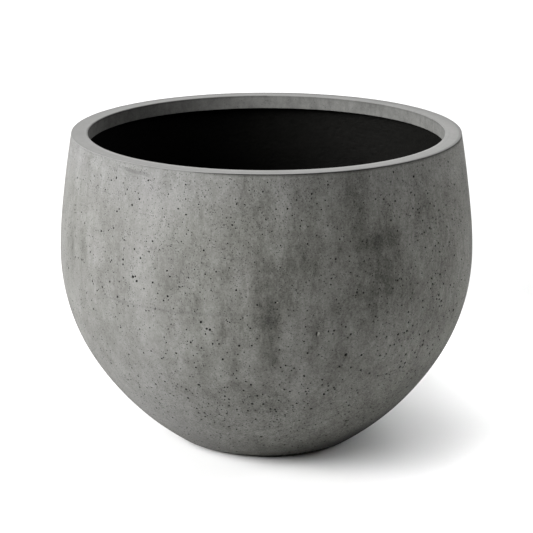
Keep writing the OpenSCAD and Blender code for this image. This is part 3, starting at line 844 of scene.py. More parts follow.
def lathe(name, outline, n, change=None, centre=(0.0, 0.0), smooth=32.0, closed=True):
    """Turns an outline round the axis. A point on the axis is shared by all."""
    pts = np.array(outline, float)
    build_pts, index, on_axis = [], [], []
    phi = -math.pi + TAU * np.arange(n) / n
    count = 0
    for r, z in pts:
        if r < 1e-6:
            build_pts.append(np.array([[0.0, 0.0, z]]))
            index.append(np.array([count]))
            on_axis.append(True)
            count += 1
        else:
            build_pts.append(np.stack([r * np.sin(phi), -r * np.cos(phi), np.full(n, z)], 1))
            index.append(np.arange(count, count + n))
            on_axis.append(False)
            count += n
    co = np.concatenate(build_pts)
    if change is not None:
        co = change(co)
    co = co + np.array([centre[0], centre[1], 0.0])
    length = np.concatenate([[0.0], np.cumsum(np.hypot(*(np.roll(pts, -1, 0) - pts).T))])
    total = length[-1]
    faces, uvs = [], []
    m = len(pts)
    for i in range(m if closed else m - 1):
        a, b = index[i], index[(i + 1) % m]
        v0, v1 = length[i] / total, length[i + 1] / total
        if on_axis[i] and on_axis[(i + 1) % m]:
            continue
        for k in range(n):
            u0, u1 = k / n, (k + 1) / n
            q = (k + 1) % n
            if on_axis[i]:
                faces.append((int(a[0]), int(b[k]), int(b[q])))
                uvs += [(u0, v0), (u0, v1), (u1, v1)]
            elif on_axis[(i + 1) % m]:
                faces.append((int(a[k]), int(b[0]), int(a[q])))
                uvs += [(u0, v0), (u0, v1), (u1, v0)]
            else:
                faces.append((int(a[k]), int(b[k]), int(b[q]), int(a[q])))
                uvs += [(u0, v0), (u0, v1), (u1, v1), (u1, v0)]
    me = bpy.data.meshes.new(name)
    me.from_pydata([tuple(v) for v in co * MM], [], faces)
    layer = me.uv_layers.new(name="OFBake")
    layer.uv.foreach_set("vector", np.array(uvs, np.float32).ravel())
    me.calc_loop_triangles()
    t = np.zeros(len(me.loop_triangles) * 3, np.int32)
    me.loop_triangles.foreach_get("vertices", t)
    a, b, c = (co[t.reshape(-1, 3)[:, k]] for k in range(3))
    if (a * np.cross(b, c)).sum() < 0:
        me.flip_normals()
    me.polygons.foreach_set("use_smooth", np.ones(len(me.polygons), bool))
    me.set_sharp_from_angle(angle=math.radians(smooth))
    me.update()
    return new_object(name, me)


# ------------------------------------------------------------------ rim: cap, nose and inner band
def smear(phi, p):
    """0 to 1: where cement paste closes the joint between the face and the rim."""
    left = ramp(phi, -175.0, -140.0) * ramp(-4.0 - phi, 0.0, 26.0)
    patch = ramp(phi, 118.0, 128.0) * ramp(166.0 - phi, 0.0, 10.0)
    ragged = 0.5 + 0.5 * noise(p * (1, 1, 0), 24, 3, 58)
    return np.clip(np.maximum(left, patch) * (0.55 + 0.9 * ragged), 0.0, 0.92)


def make_rim():
    z = np.linspace(LIP_Z, CAP_Z, 6)
    back = [(wall_r(12.5, v), v, 0.0) for v in z]
    outline = [
        (MOUTH_R, LIP_Z, 0.7),
        (back[0][0], LIP_Z, 0.0),
        *back[1:],
        (272.04, CAP_Z, 0.0), (272.04, 444.5, 0.3), (275.64, 444.5, 0.3), (275.64, CAP_Z, 0.0),
        (wall_r(3.0, CAP_Z), CAP_Z, 0.0),
        (wall_r(3.0, FACE_Z), FACE_Z, 0.0),
        (279.15, FACE_Z, 0.0),
        (NOSE_R + 0.05, RIM_Z - 0.42, 0.14),
        (NOSE_R, RIM_Z, 0.30),
        (MOUTH_R, RIM_Z, 1.15),
    ]
    pts = even(rounded(outline, 5), 2.6)

    def change(co):
        r = np.hypot(co[:, 0], co[:, 1])
        unit = co * (1, 1, 0) / r[:, None]
        top = ramp(co[:, 2], RIM_Z - 1.6, RIM_Z - 0.2)
        brushed = np.stack([co[:, 0], co[:, 1], co[:, 2] * 0.0], 1)
        lift = 0.085 * noise(brushed, 70, 2, 51) + 0.030 * noise(brushed, 17, 2, 52)
        inner = ramp(262.0 - r, 0.0, 3.5)
        nose = ramp(r, 280.2, 281.3)
        sway = inner * (0.14 * noise(co, 60, 2, 53) + 0.05 * noise(co * (1, 1, 0.25), 11, 2, 54))
        sway += nose * (0.09 * noise(co, 45, 2, 55) + 0.045 * noise(co, 12, 2, 56))
        co = co + unit * sway[:, None]
        co[:, 2] += top * lift
        phi = np.degrees(np.arctan2(co[:, 0], -co[:, 1]))
        under = ramp(r, 279.3, 281.2) * ramp(454.35 - co[:, 2], 0.0, 0.2) * (co[:, 2] > 452.95)
        co[:, 2] -= 0.95 * under * smear(phi, co)
        low = ramp(LIP_Z + 1.2 - co[:, 2], 0.0, 1.0) * inner
        co[:, 2] += low * 0.12 * noise(co, 30, 2, 57)
        return co

    ob = lathe("rim_cast", pts, 600, change, smooth=34.0)
    co = np.zeros(len(ob.data.vertices) * 3)
    ob.data.vertices.foreach_get("co", co)
    co = co.reshape(-1, 3) / MM
    r = np.hypot(co[:, 0], co[:, 1])
    phi = np.degrees(np.arctan2(co[:, 0], -co[:, 1]))
    point(ob.data, "band", ramp(258.6 - r, 0.0, 0.9) * ramp(454.2 - co[:, 2], 0.0, 0.8))
    # painted shade on the underside of the rim's nose, in the groove where it meets the face, less where paste closes
    # the gap
    joint = ramp(r, 278.0, 279.5) * ramp(454.3 - co[:, 2], 0.0, 0.5)
    point(ob.data, "joint", joint * (1.0 - 0.8 * smear(phi, co)))
    # painted light and shade on the rim: lighter round the right side and the front of the trowelled top, darker toward
    # its outer edge, at the inner arris and on the inner band at the right, and a painted highlight along the top's
    # inner edge
    top = ramp(co[:, 2], 453.6, 454.3)
    rim_shading = -0.10 * ramp(phi, -5.0, 35.0) * ramp(118.0 - phi, 0.0, 30.0) - 0.05 * ramp(np.abs(phi), 163.0, 178.0)
    rim_shading -= 0.045 * ramp(phi, -100.0, -85.0) * ramp(20.0 - phi, 0.0, 20.0)
    rim_shading += 0.03 * ramp(-100.0 - phi, 0.0, 20.0) * ramp(phi, -175.0, -165.0)
    rim_shading += 0.20 * ramp(phi, 40.0, 90.0) * ramp(185.0 - phi, 0.0, 30.0) * (1.0 - top) * ramp(266.0 - r, 0.0, 4.0)
    rim_shading -= 0.12 * top * ramp(275.0 - r, 0.0, 5.0) * ramp(np.abs(phi), 85.0, 150.0)
    arris = ramp(261.0 - r, 0.0, 2.0) * ramp(co[:, 2], 451.5, 453.0)
    rim_shading += arris * (0.42 * ramp(-65.0 - phi, 0.0, 30.0) + 0.20 * ramp(phi, 60.0, 100.0) + 0.26 * ramp(60.0 - np.abs(phi), 0.0, 30.0))
    lip = ramp(266.0 - r, 0.0, 3.0) * ramp(r, 260.0, 262.0) * top
    rim_shading -= lip * (0.12 * ramp(55.0 - np.abs(phi + 15.0), 0.0, 20.0) - 0.10 * ramp(phi, 38.0, 55.0) * ramp(100.0 - phi, 0.0, 15.0))
    rim_shading += 0.06 * top * ramp(phi, 35.0, 60.0) * ramp(r, 266.0, 274.0) + 0.26 * ramp(r, 277.0, 280.0) * ramp(np.abs(phi), 115.0, 150.0)
    rim_shading += 0.30 * ramp(r, 276.0, 279.6) * ramp(phi, -5.0, 45.0) * ramp(120.0 - phi, 0.0, 30.0)
    rim_shading += 0.14 * ramp(r, 278.0, 280.6) * ramp(phi, -170.0, -130.0) * ramp(-15.0 - phi, 0.0, 20.0)
    rim_shading -= (0.06 + 0.15 * ramp(85.0 - np.abs(phi), 0.0, 35.0)) * ramp(265.0 - r, 0.0, 4.5) * top
    point(ob.data, "rim_painted_shading", rim_shading)
    return ob


rim_cast = make_rim()
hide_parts("rim_ring")
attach(rim_cast, "bowl")


# ------------------------------------------------------------------ black coat inside
def make_coat():
    skin = Wall(13.7, LIP_Z, 19.7, 22.8)
    back = Wall(12.5, LIP_Z, 18.5, 24.0)
    r, z, nr, nz = skin.at(np.linspace(0, skin.length, 138))
    inside = list(zip(r, z))
    floor_r = [f for f in np.linspace(inside[-1][0], 19.4, 24)[1:]]
    inside += [(f, 19.7) for f in floor_r]
    inside += [(19.05, 19.4), (19.0, 18.5)]
    r2, z2 = back.at(np.linspace(back.length, 0, 40))[:2]
    outline = inside + list(zip(r2, z2))
    n_in = 138 + len(floor_r)

    def change(co):
        n = 440
        skin_rows = co[: n_in * n]
        p = skin_rows
        phi = np.arctan2(p[:, 0], -p[:, 1])
        s = np.repeat(np.arange(n_in) * skin.length / 137.0, n)
        # brush strokes cross at a slant; wrapped round the bowl without a seam
        wave = np.stack([p[:, 0], p[:, 1], p[:, 2]], 1)
        bend = 9 * noise(wave, 60, 2, 61)
        slant = np.stack([p[:, 0] + bend, p[:, 1] + bend, p[:, 2] * 2.6 + bend], 1)
        height = 0.26 * noise(slant, 30, 3, 62, 0.55) + 0.12 * noise(wave, 9, 2, 63)
        drops = noise(wave * (1, 1, 0.35), 15, 1, 64)
        height += 0.16 * np.maximum(drops - 0.42, 0) * 2
        fade = ramp(s, 0.0, 7.0) * ramp(np.hypot(p[:, 0], p[:, 1]), 19.5, 30.0)
        rr, zz, nnr, nnz = skin.at(np.minimum(s, skin.length))
        unit = p * (1, 1, 0) / np.maximum(np.hypot(p[:, 0], p[:, 1]), 1e-6)[:, None]
        inward = -(unit * nnr[:, None] + np.array([0, 0, 1.0]) * nnz[:, None])
        co = co.copy()
        co[: n_in * n] = p + inward * (height * fade)[:, None]
        return co

    ob = lathe("coat_brushed", outline, 440, change, smooth=38.0)
    co = np.zeros(len(ob.data.vertices) * 3)
    ob.data.vertices.foreach_get("co", co)
    phi = np.degrees(np.arctan2(co[0::3], -co[1::3])) % 360.0
    # painted light and shade: the coat is lighter on the right half, which faces the light, and darker on the left half
    # and low down at the back and left; toward the middle of the floor it stays even
    coat_painted_light = 0.30 + 0.53 * (ramp(phi, 275.0, 350.0) + ramp(202.0 - phi, 0.0, 26.0))
    coat_painted_light *= 1.0 - 0.7 * ramp(385.0 - co[2::3] / MM, 0.0, 70.0) * ramp(phi, 160.0, 190.0) * ramp(290.0 - phi, 0.0, 20.0)
    out = ramp(np.hypot(co[0::3], co[1::3]) / MM, 50.0, 170.0)
    point(ob.data, "coat_painted_light", 0.60 + (coat_painted_light - 0.60) * out)
    return ob


coat_brushed = make_coat()
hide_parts("waterproof_coat")
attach(coat_brushed, "bowl")


# ------------------------------------------------------------------ sleeve, plug and pads
def make_sleeve():
    outline = rounded([
        (12.5, 2.5, 0.5), (15.5, 2.5, 0.35), (15.5, 17.0, 0.0), (22.0, 17.0, 0.3),
        (22.0, 18.5, 0.45), (12.5, 18.5, 0.6)], 4)
    return lathe("sleeve_moulded", even(outline, 4.0), 96, None, smooth=30.0)


def make_plug():
    outline = [(0.0, 3.5, 0.0), (9.4, 3.5, 0.5), (11.55, 6.0, 0.5)]
    for z in (7.5, 11.5, 15.5):
        outline += [(11.55, z - 0.1, 0.25), (12.45, z + 0.45, 0.3), (12.45, z + 1.6, 0.35), (11.55, z + 2.2, 0.3)]
    outline += [
        (11.55, 18.6, 0.4), (17.6, 18.55, 0.5), (18.0, 19.2, 0.5), (18.0, 20.9, 0.8), (17.2, 21.6, 0.7),
        (14.6, 21.6, 0.15), (14.3, 21.25, 0.15), (13.5, 21.25, 0.15), (13.2, 21.6, 0.15),
        (6.2, 21.6, 1.2), (4.25, 23.6, 1.4), (4.25, 28.2, 1.0), (6.6, 29.4, 0.8),
        (8.3, 30.4, 0.8), (8.5, 32.4, 0.9), (7.3, 34.1, 1.0), (5.0, 34.6, 0.6),
        (4.2, 34.2, 0.4), (2.4, 33.4, 0.8), (0.0, 33.2, 0.0)]
    pts = rounded(outline, 4)
    pts = [p for p in pts]
    fine = []
    for a, b in zip(pts[:-1], pts[1:]):
        m = max(1, int(math.ceil(np.linalg.norm(b - a) / 1.1)))
        fine += [a + (b - a) * k / m for k in range(m)]
    fine.append(pts[-1])

    def change(co):
        r = np.hypot(co[:, 0], co[:, 1])
        phi = np.arctan2(co[:, 0], -co[:, 1])
        grip = ramp(co[:, 2], 29.0, 30.6) * ramp(34.0 - co[:, 2], 0.0, 1.2) * ramp(r, 5.5, 8.0)
        flute = -0.42 * grip * (0.5 + 0.5 * np.cos(phi * 16)) ** 3
        ear = ramp(co[:, 2], 18.5, 19.0) * ramp(21.8 - co[:, 2], 0.0, 0.4)
        line = 0.10 * np.exp(-((np.abs(np.sin(phi)) * r) / 0.28) ** 2) * (1 - grip) * ramp(r, 3.0, 4.2) * (r < 18.3)
        line *= np.where((co[:, 2] < 18.5), 0.25, 1.0)
        unit = co * (1, 1, 0) / np.maximum(r, 1e-6)[:, None]
        return co + unit * (flute + line)[:, None]

    return lathe("plug_moulded", fine, 128, change, smooth=40.0, closed=False)


def make_pads():
    made = []
    for k in range(4):
        a = math.radians(45 + 90 * k)
        outline = [(0.0, 0.35, 0.0), (2.2, 0.35, 0.1), (2.6, 0.0, 0.12)]
        for g in (5.0, 8.0, 11.0):
            outline += [(g - 0.55, 0.0, 0.12), (g - 0.3, 0.5, 0.1), (g + 0.3, 0.5, 0.1), (g + 0.55, 0.0, 0.12)]
        outline += [(15.0, 0.0, 0.6), (15.0, 4.5, 0.25), (0.0, 4.5, 0.0)]
        pts = rounded(outline, 3)
        fine = []
        for p, q in zip(pts[:-1], pts[1:]):
            m = max(1, int(math.ceil(np.linalg.norm(q - p) / 1.6)))
            fine += [p + (q - p) * i / m for i in range(m)]
        fine.append(pts[-1])
        made.append(lathe("pad", fine, 72, None, (92 * math.cos(a), 92 * math.sin(a)), 30.0, closed=False))
    co, faces, uvs, base = [], [], [], 0
    for k, ob in enumerate(made):
        me = ob.data
        co += [tuple(v.co) for v in me.vertices]
        for p in me.polygons:
            faces.append([base + i for i in p.vertices])
            for li in p.loop_indices:
                u, v = me.uv_layers[0].uv[li].vector
                uvs.append(((k % 2 + 0.02 + 0.96 * u) / 2, (k // 2 + 0.02 + 0.96 * v) / 2))
        base += len(me.vertices)
        bpy.data.objects.remove(ob)
        bpy.data.meshes.remove(me)
    me = bpy.data.meshes.new("pads_moulded")
    me.from_pydata(co, [], faces)
    me.uv_layers.new(name="OFBake").uv.foreach_set("vector", np.array(uvs, np.float32).ravel())
    me.polygons.foreach_set("use_smooth", np.ones(len(me.polygons), bool))
    me.set_sharp_from_angle(angle=math.radians(30))
    me.update()
    return new_object("pads_moulded", me)


sleeve_moulded = make_sleeve()
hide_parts("drain_sleeve")
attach(sleeve_moulded, "bowl")
plug_moulded = make_plug()
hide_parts("drain_plug")
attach(plug_moulded, "plug")
pads_moulded = make_pads()
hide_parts("foot_pads")
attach(pads_moulded, "bowl")


# ------------------------------------------------------------------ materials
class Look:
    """A small helper that builds one node material."""

    def __init__(self, name, **sockets):
        self.mat = bpy.data.materials.new(name)
        self.mat.use_nodes = True
        self.tree = self.mat.node_tree
        self.tree.nodes.clear()
        self.out = self.tree.nodes.new("ShaderNodeOutputMaterial")
        self.bsdf = self.tree.nodes.new("ShaderNodeBsdfPrincipled")
        self.tree.links.new(self.bsdf.outputs["BSDF"], self.out.inputs["Surface"])
        for k, v in sockets.items():
            self.bsdf.inputs[k.replace("_", " ")].default_value = v
        self.coord = self.tree.nodes.new("ShaderNodeTexCoord").outputs["Object"]

    def link(self, a, b):
        self.tree.links.new(a, b)

    def scaled(self, x, y, z, source=None):
        n = self.tree.nodes.new("ShaderNodeVectorMath")
        n.operation = "MULTIPLY"
        self.link(source or self.coord, n.inputs[0])
        n.inputs[1].default_value = (x, y, z)
        return n.outputs[0]

    def noise(self, size, detail=3.0, rough=0.5, distort=0.0, at=None, shift=0.0):
        """Noise of about 0 to 1; size is its feature size in mm."""
        n = self.tree.nodes.new("ShaderNodeTexNoise")
        n.noise_dimensions = "4D"
        n.inputs["W"].default_value = shift
        n.inputs["Scale"].default_value = 1000.0 / size
        n.inputs["Detail"].default_value = detail
        n.inputs["Roughness"].default_value = rough
        n.inputs["Distortion"].default_value = distort
        self.link(at or self.coord, n.inputs["Vector"])
        return n.outputs["Fac"]

    def cells(self, size, feature="F1", randomness=1.0, at=None):
        n = self.tree.nodes.new("ShaderNodeTexVoronoi")
        n.feature = feature
        n.inputs["Scale"].default_value = 1000.0 / size
        n.inputs["Randomness"].default_value = randomness
        self.link(at or self.coord, n.inputs["Vector"])
        return n.outputs["Distance"], n.outputs.get("Color")

    def math(self, op, a, b=None, c=None, clamp=False):
        n = self.tree.nodes.new("ShaderNodeMath")
        n.operation = op
        n.use_clamp = clamp
        for i, v in enumerate((a, b, c)):
            if v is None:
                continue
            if isinstance(v, (int, float)):
                n.inputs[i].default_value = v
            else:
                self.link(v, n.inputs[i])
        return n.outputs[0]

    def remap(self, v, lo, hi, out_lo=0.0, out_hi=1.0, smooth=True):
        n = self.tree.nodes.new("ShaderNodeMapRange")
        n.interpolation_type = "SMOOTHSTEP" if smooth else "LINEAR"
        self.link(v, n.inputs["Value"])
        for k, x in (("From Min", lo), ("From Max", hi), ("To Min", out_lo), ("To Max", out_hi)):
            n.inputs[k].default_value = x
        return n.outputs["Result"]

    def up(self):
        """Height above the floor, in mm."""
        n = self.tree.nodes.new("ShaderNodeSeparateXYZ")
        self.link(self.scaled(1000.0, 1000.0, 1000.0), n.inputs[0])
        return n.outputs["Z"]

    def attribute(self, name):
        n = self.tree.nodes.new("ShaderNodeAttribute")
        n.attribute_type = "GEOMETRY"
        n.attribute_name = name
        return n.outputs["Fac"]

    def total(self, terms, start=1.0):
        """start plus the sum of weight * (value - middle)."""
        acc = None
        for value, weight, middle in terms:
            part = self.math("MULTIPLY_ADD", value, weight, -weight * middle)
            acc = part if acc is None else self.math("ADD", acc, part)
        return self.math("ADD", acc, start)

    def tint(self, value, dark, light, lo=0.0, hi=1.0):
        n = self.tree.nodes.new("ShaderNodeMix")
        n.data_type = "RGBA"
        n.inputs[6].default_value = (*dark, 1)
        n.inputs[7].default_value = (*light, 1)
        f = self.remap(value, lo, hi, smooth=False)
        self.link(f, n.inputs[0])
        return n.outputs[2]

    def mix(self, fac, a, b, blend="MIX"):
        n = self.tree.nodes.new("ShaderNodeMix")
        n.data_type = "RGBA"
        n.blend_type = blend
        for i, v in ((0, fac), (6, a), (7, b)):
            if isinstance(v, (int, float)):
                n.inputs[i].default_value = v
            elif isinstance(v, tuple):
                n.inputs[i].default_value = (*v, 1)
            else:
                self.link(v, n.inputs[i])
        return n.outputs[2]

    def scale_colour(self, colour, factor):
        n = self.tree.nodes.new("ShaderNodeVectorMath")
        n.operation = "SCALE"
        if isinstance(colour, tuple):
            n.inputs[0].default_value = colour
        else:
            self.link(colour, n.inputs[0])
        self.link(factor, n.inputs["Scale"])
        return n.outputs[0]

    def bump(self, height, distance_mm, strength=1.0, below=None):
        n = self.tree.nodes.new("ShaderNodeBump")
        n.inputs["Strength"].default_value = strength
        n.inputs["Distance"].default_value = distance_mm * MM
        self.link(height, n.inputs["Height"])
        if below is not None:
            self.link(below, n.inputs["Normal"])
        return n.outputs["Normal"]

    def finish(self, colour=None, rough=None, normal=None):
        if colour is not None:
            self.link(colour, self.bsdf.inputs["Base Color"])
        if rough is not None:
            self.link(rough, self.bsdf.inputs["Roughness"])
        if normal is not None:
            self.link(normal, self.bsdf.inputs["Normal"])
        return self.mat


BODY = (0.1303, 0.1298, 0.1277)
RIM = (0.2080, 0.2078, 0.2028)


def body_concrete():
    k = Look("pored concrete", Specular_IOR_Level=0.32)
    tall = k.scaled(1.0, 1.0, 0.16)
    lean = k.scaled(1.0, 1.0, 0.42)
    clouds = k.noise(150, 3, 0.55, 0.6, shift=1.3)
    streaks = k.noise(30, 4, 0.60, 0.5, at=tall, shift=2.1)
    patches = k.noise(46, 6, 0.66, 0.8, at=lean, shift=3.7)
    scum = k.remap(k.noise(30, 6, 0.70, 1.1, at=lean, shift=7.4), 0.42, 0.60)
    mottle = k.noise(12, 5, 0.66, 0.5, shift=4.4)
    brushed = k.noise(5.0, 3, 0.6, 0.6, at=lean, shift=1.9)
    grain = k.noise(2.6, 3, 0.66, shift=5.2)
    fine = k.noise(0.8, 2, 0.6, shift=6.5)
    tone = k.attribute("tone")
    pore = k.attribute("pore")
    coarse = k.total([(clouds, 0.45, 0.5), (streaks, 0.66, 0.5), (patches, 0.80, 0.5), (scum, 0.08, 0.5),
                      (mottle, 0.60, 0.5), (tone, 0.16, 0.0)], 1.0)
    sandy = k.total([(brushed, 0.46, 0.5), (grain, 0.84, 0.5), (fine, 0.40, 0.5)], 0.0)
    # painted shading: the mottling and the grain get more contrast where relief shade would be strong
    value = k.math("MULTIPLY_ADD", k.math("SUBTRACT", coarse, 1.0), k.attribute("painted_relief_contrast"), 1.0)
    value = k.math("MAXIMUM", k.math("MULTIPLY_ADD", sandy, k.attribute("painted_grain_contrast"), value), 0.25)
    # painted shade: a darker foot and lower right side, a lighter top of the right side
    value = k.math("MULTIPLY", value, k.math("MULTIPLY_ADD", k.attribute("painted_shade"), -1.0, 1.0))
    # the darker patches are a trace yellower than the rest
    oily = k.remap(value, 0.55, 1.20, 1.0, 0.0, smooth=False)
    # wiped streaks that follow the rim at the left, where paste squeezed out
    flat = k.scaled(0.40, 0.40, 2.3)
    wiped = k.math("MULTIPLY", k.remap(k.up(), 421.0, 440.0), k.attribute("wiped"))
    wiped = k.math("MULTIPLY", wiped, k.math("SUBTRACT", k.noise(24, 4, 0.62, 0.9, at=flat, shift=3.3), 0.5))
    value = k.math("MULTIPLY", value, k.math("MULTIPLY_ADD", wiped, 0.80, 1.0))
    away = k.math("MULTIPLY_ADD", k.noise(14, 2, 0.5, shift=6.1), 6.0, k.math("SUBTRACT", k.attribute("swipe"), 3.0))
    swipe = k.math("MULTIPLY", k.remap(k.math("ABSOLUTE", away), 0.6, 3.3, 1.0, 0.0), k.attribute("swiped"))
    value = k.math("MULTIPLY", value, k.math("MULTIPLY_ADD", swipe, -0.27, 1.0))
    # painted shade close under the rim, where the rim's nose shades the face, less at the left where paste closes the
    # gap
    under = k.math("MULTIPLY", k.remap(k.up(), 449.0, 451.9), k.attribute("open"))
    value = k.math("MULTIPLY", value, k.math("MULTIPLY_ADD", under, -0.34, 1.0))
    # a faint level line, where the pour paused
    off = k.math("ABSOLUTE", k.math("MULTIPLY_ADD", k.noise(45, 2, 0.5, shift=2.9), 9.0, k.math("SUBTRACT", k.up(), 265.0)))
    line = k.math("MULTIPLY", k.remap(off, 0.3, 3.2, 1.0, 0.0), k.attribute("pause"))
    value = k.math("MULTIPLY", value, k.math("MULTIPLY_ADD", line, -0.13, 1.0))
    # pinholes too small to model, in the same crowding as the pores: dark dots, partly dust and partly painted shade
    # inside the holes
    dist, _ = k.cells(3.8)
    hole = k.remap(dist, 0.115, 0.185, 1.0, 0.0)
    crowd = k.remap(k.math("MULTIPLY_ADD", k.attribute("painted_grain_contrast"), 0.07, k.noise(30, 2, 0.5, shift=8.8)), 0.43, 0.63)
    hole = k.math("MULTIPLY", hole, crowd)
    second, _ = k.cells(2.6, at=k.scaled(1.0, 1.0, 0.93))
    dot = k.math("MULTIPLY", k.remap(second, 0.13, 0.21, 1.0, 0.0),
                 k.remap(k.noise(22, 2, 0.5, shift=5.5), 0.42, 0.60))
    hole = k.math("MAXIMUM", hole, dot)
    value = k.math("MULTIPLY", value, k.math("MULTIPLY_ADD", hole, -0.88, 1.0))
    # pores: the colour darkened in their hollows, partly dust and partly painted shade; lightened on clean broken
    # slopes, partly a painted highlight
    value = k.math("MULTIPLY", value, k.math("MULTIPLY_ADD", pore, -0.95, 1.0))
    hue = k.tint(k.noise(40, 3, 0.55, 0.4, shift=9.3), (BODY[0] * 0.993, BODY[1], BODY[2] * 0.990),
                 (BODY[0] * 1.007, BODY[1], BODY[2] * 1.006), 0.35, 0.65)
    colour = k.mix(k.attribute("warm"), k.scale_colour(hue, value), (1.0, 1.0, 0.94), "MULTIPLY")
    colour = k.mix(oily, colour, (1.003, 1.0, 0.945), "MULTIPLY")
    rough = k.total([(mottle, 0.20, 0.5), (grain, 0.18, 0.5), (patches, 0.12, 0.5)], 0.80)
    height = k.total([(patches, 4.0, 0.5), (streaks, 2.5, 0.5), (mottle, 2.2, 0.5), (brushed, 0.8, 0.5),
                      (grain, 0.8, 0.5), (fine, 0.30, 0.5), (hole, -1.3, 0.0)], 0.0)
    normal = k.bump(height, 0.19, 1.0)
    return k.finish(colour, rough, normal)


def rim_concrete():
    k = Look("smooth concrete", Specular_IOR_Level=0.12)
    tall = k.scaled(1.0, 1.0, 0.22)
    clouds = k.noise(80, 3, 0.55, 0.5, shift=1.1)
    streaks = k.noise(9, 4, 0.6, 0.3, at=tall, shift=2.6)
    mottle = k.noise(14, 4, 0.6, 0.4, shift=3.2)
    grain = k.noise(2.2, 3, 0.6, shift=4.9)
    band = k.attribute("band")
    # the trowelled top is even, the cast inner band is mottled and spotted
    spots = k.remap(k.noise(7.0, 3, 0.6, 0.3, shift=6.1), 0.60, 0.70, 0.0, 1.0)
    soft = k.total([(clouds, 0.20, 0.5), (mottle, 0.24, 0.5), (grain, 0.30, 0.5)])
    rich = k.total([(clouds, 0.44, 0.5), (streaks, 0.66, 0.5), (mottle, 0.86, 0.5), (grain, 0.56, 0.5),
                    (spots, -0.16, 0.0)])
    value = k.math("ADD", k.math("MULTIPLY", rich, k.math("MULTIPLY", band, 0.77)),
                   k.math("MULTIPLY", soft, k.math("MULTIPLY_ADD", band, -1.0, 1.0)))
    # small holes, most on the inner band: dark dots, partly dust and partly painted shade inside them
    dist, _ = k.cells(5.2)
    hole = k.math("MULTIPLY", k.remap(dist, 0.075, 0.125, 1.0, 0.0), k.math("MULTIPLY_ADD", band, 0.85, 0.12))
    value = k.math("MULTIPLY", value, k.math("MULTIPLY_ADD", hole, -0.7, 1.0))
    # painted shade under the rim's nose
    value = k.math("MULTIPLY", value, k.math("MULTIPLY_ADD", k.attribute("joint"), -0.62, 1.0))
    # painted light and shade on the rim
    value = k.math("MULTIPLY", value, k.math("MULTIPLY_ADD", k.attribute("rim_painted_shading"), -1.0, 1.0))
    colour = k.mix(band, k.scale_colour(RIM, value), (1.0, 1.0, 0.982), "MULTIPLY")
    rough = k.total([(mottle, 0.16, 0.5), (grain, 0.12, 0.5)], 0.86)
    height = k.total([(mottle, 0.7, 0.5), (streaks, 0.5, 0.5), (grain, 0.30, 0.5), (hole, -0.8, 0.0)], 0.0)
    return k.finish(colour, rough, k.bump(height, 0.12, 1.0))


def black_coat():
    k = Look("black coating", Specular_IOR_Level=0.07)
    slant = k.scaled(1.0, 1.0, 2.6)
    strokes = k.noise(12, 4, 0.6, 0.9, at=slant, shift=1.4)
    lumps = k.noise(5.5, 4, 0.62, 0.4, shift=2.2)
    grain = k.noise(1.2, 2, 0.6, shift=3.6)
    # painted light and shade on the coat: lighter on the right half, darker on the left
    value = k.math("MULTIPLY", k.total([(strokes, 1.2, 0.5), (lumps, 1.1, 0.5)]), k.attribute("coat_painted_light"))
    colour = k.scale_colour((0.0052, 0.0051, 0.0045), value)
    rough = k.total([(strokes, 0.28, 0.5), (grain, 0.16, 0.5)], 0.62)
    height = k.total([(strokes, 1.0, 0.5), (lumps, 1.0, 0.5), (grain, 0.18, 0.5)], 0.0)
    return k.finish(colour, rough, k.bump(height, 0.85, 1.0))


def rubber(name, base, scuff):
    k = Look(name, Specular_IOR_Level=0.35)
    bloom = k.noise(7, 4, 0.6, 0.6, shift=1.9)
    grain = k.noise(0.6, 2, 0.55, shift=2.8)
    marks = k.noise(3, 3, 0.7, 1.4, shift=3.1)
    value = k.total([(bloom, 0.7, 0.5), (grain, 0.3, 0.5)])
    worn = k.remap(marks, 0.56, 0.72, 0.0, scuff)
    colour = k.mix(worn, k.scale_colour(base, value), (0.075, 0.073, 0.068))
    rough = k.total([(bloom, 0.22, 0.5), (grain, 0.12, 0.5)], 0.68)
    return k.finish(colour, rough, k.bump(k.total([(grain, 1.0, 0.5), (bloom, 0.5, 0.5)], 0.0), 0.035, 1.0))


def sleeve_plastic():
    k = Look("sleeve plastic", Specular_IOR_Level=0.5)
    turned = k.scaled(0.25, 0.25, 3.0)
    lines = k.noise(0.9, 2, 0.5, at=turned, shift=1.2)
    haze = k.noise(6, 3, 0.6, 0.4, shift=2.4)
    colour = k.scale_colour((0.028, 0.028, 0.029), k.total([(haze, 0.6, 0.5), (lines, 0.2, 0.5)]))
    rough = k.total([(haze, 0.25, 0.5), (lines, 0.15, 0.5)], 0.40)
    return k.finish(colour, rough, k.bump(lines, 0.02, 1.0))


def fibre_concrete():
    k = Look("fibre concrete", Specular_IOR_Level=0.3)
    clouds = k.noise(60, 4, 0.6, 0.5, shift=1.7)
    grain = k.noise(2.6, 4, 0.65, shift=2.9)
    # short glass fibres: thin bright strands lying at two slants
    one = k.noise(1.5, 1, 0.5, 0.2, at=k.scaled(1.0, 0.35, 0.12), shift=3.3)
    two = k.noise(1.5, 1, 0.5, 0.2, at=k.scaled(0.3, 1.0, 1.0), shift=4.6)
    strand = k.math("MAXIMUM", k.remap(one, 0.66, 0.72), k.remap(two, 0.67, 0.73))
    value = k.total([(clouds, 0.3, 0.5), (grain, 0.5, 0.5)])
    colour = k.mix(k.math("MULTIPLY", strand, 0.6), k.scale_colour((0.215, 0.213, 0.203), value), (0.42, 0.42, 0.39))
    rough = k.total([(grain, 0.15, 0.5)], 0.88)
    return k.finish(colour, rough, k.bump(k.total([(grain, 1.0, 0.5), (strand, 0.4, 0.5)], 0.0), 0.30, 1.0))


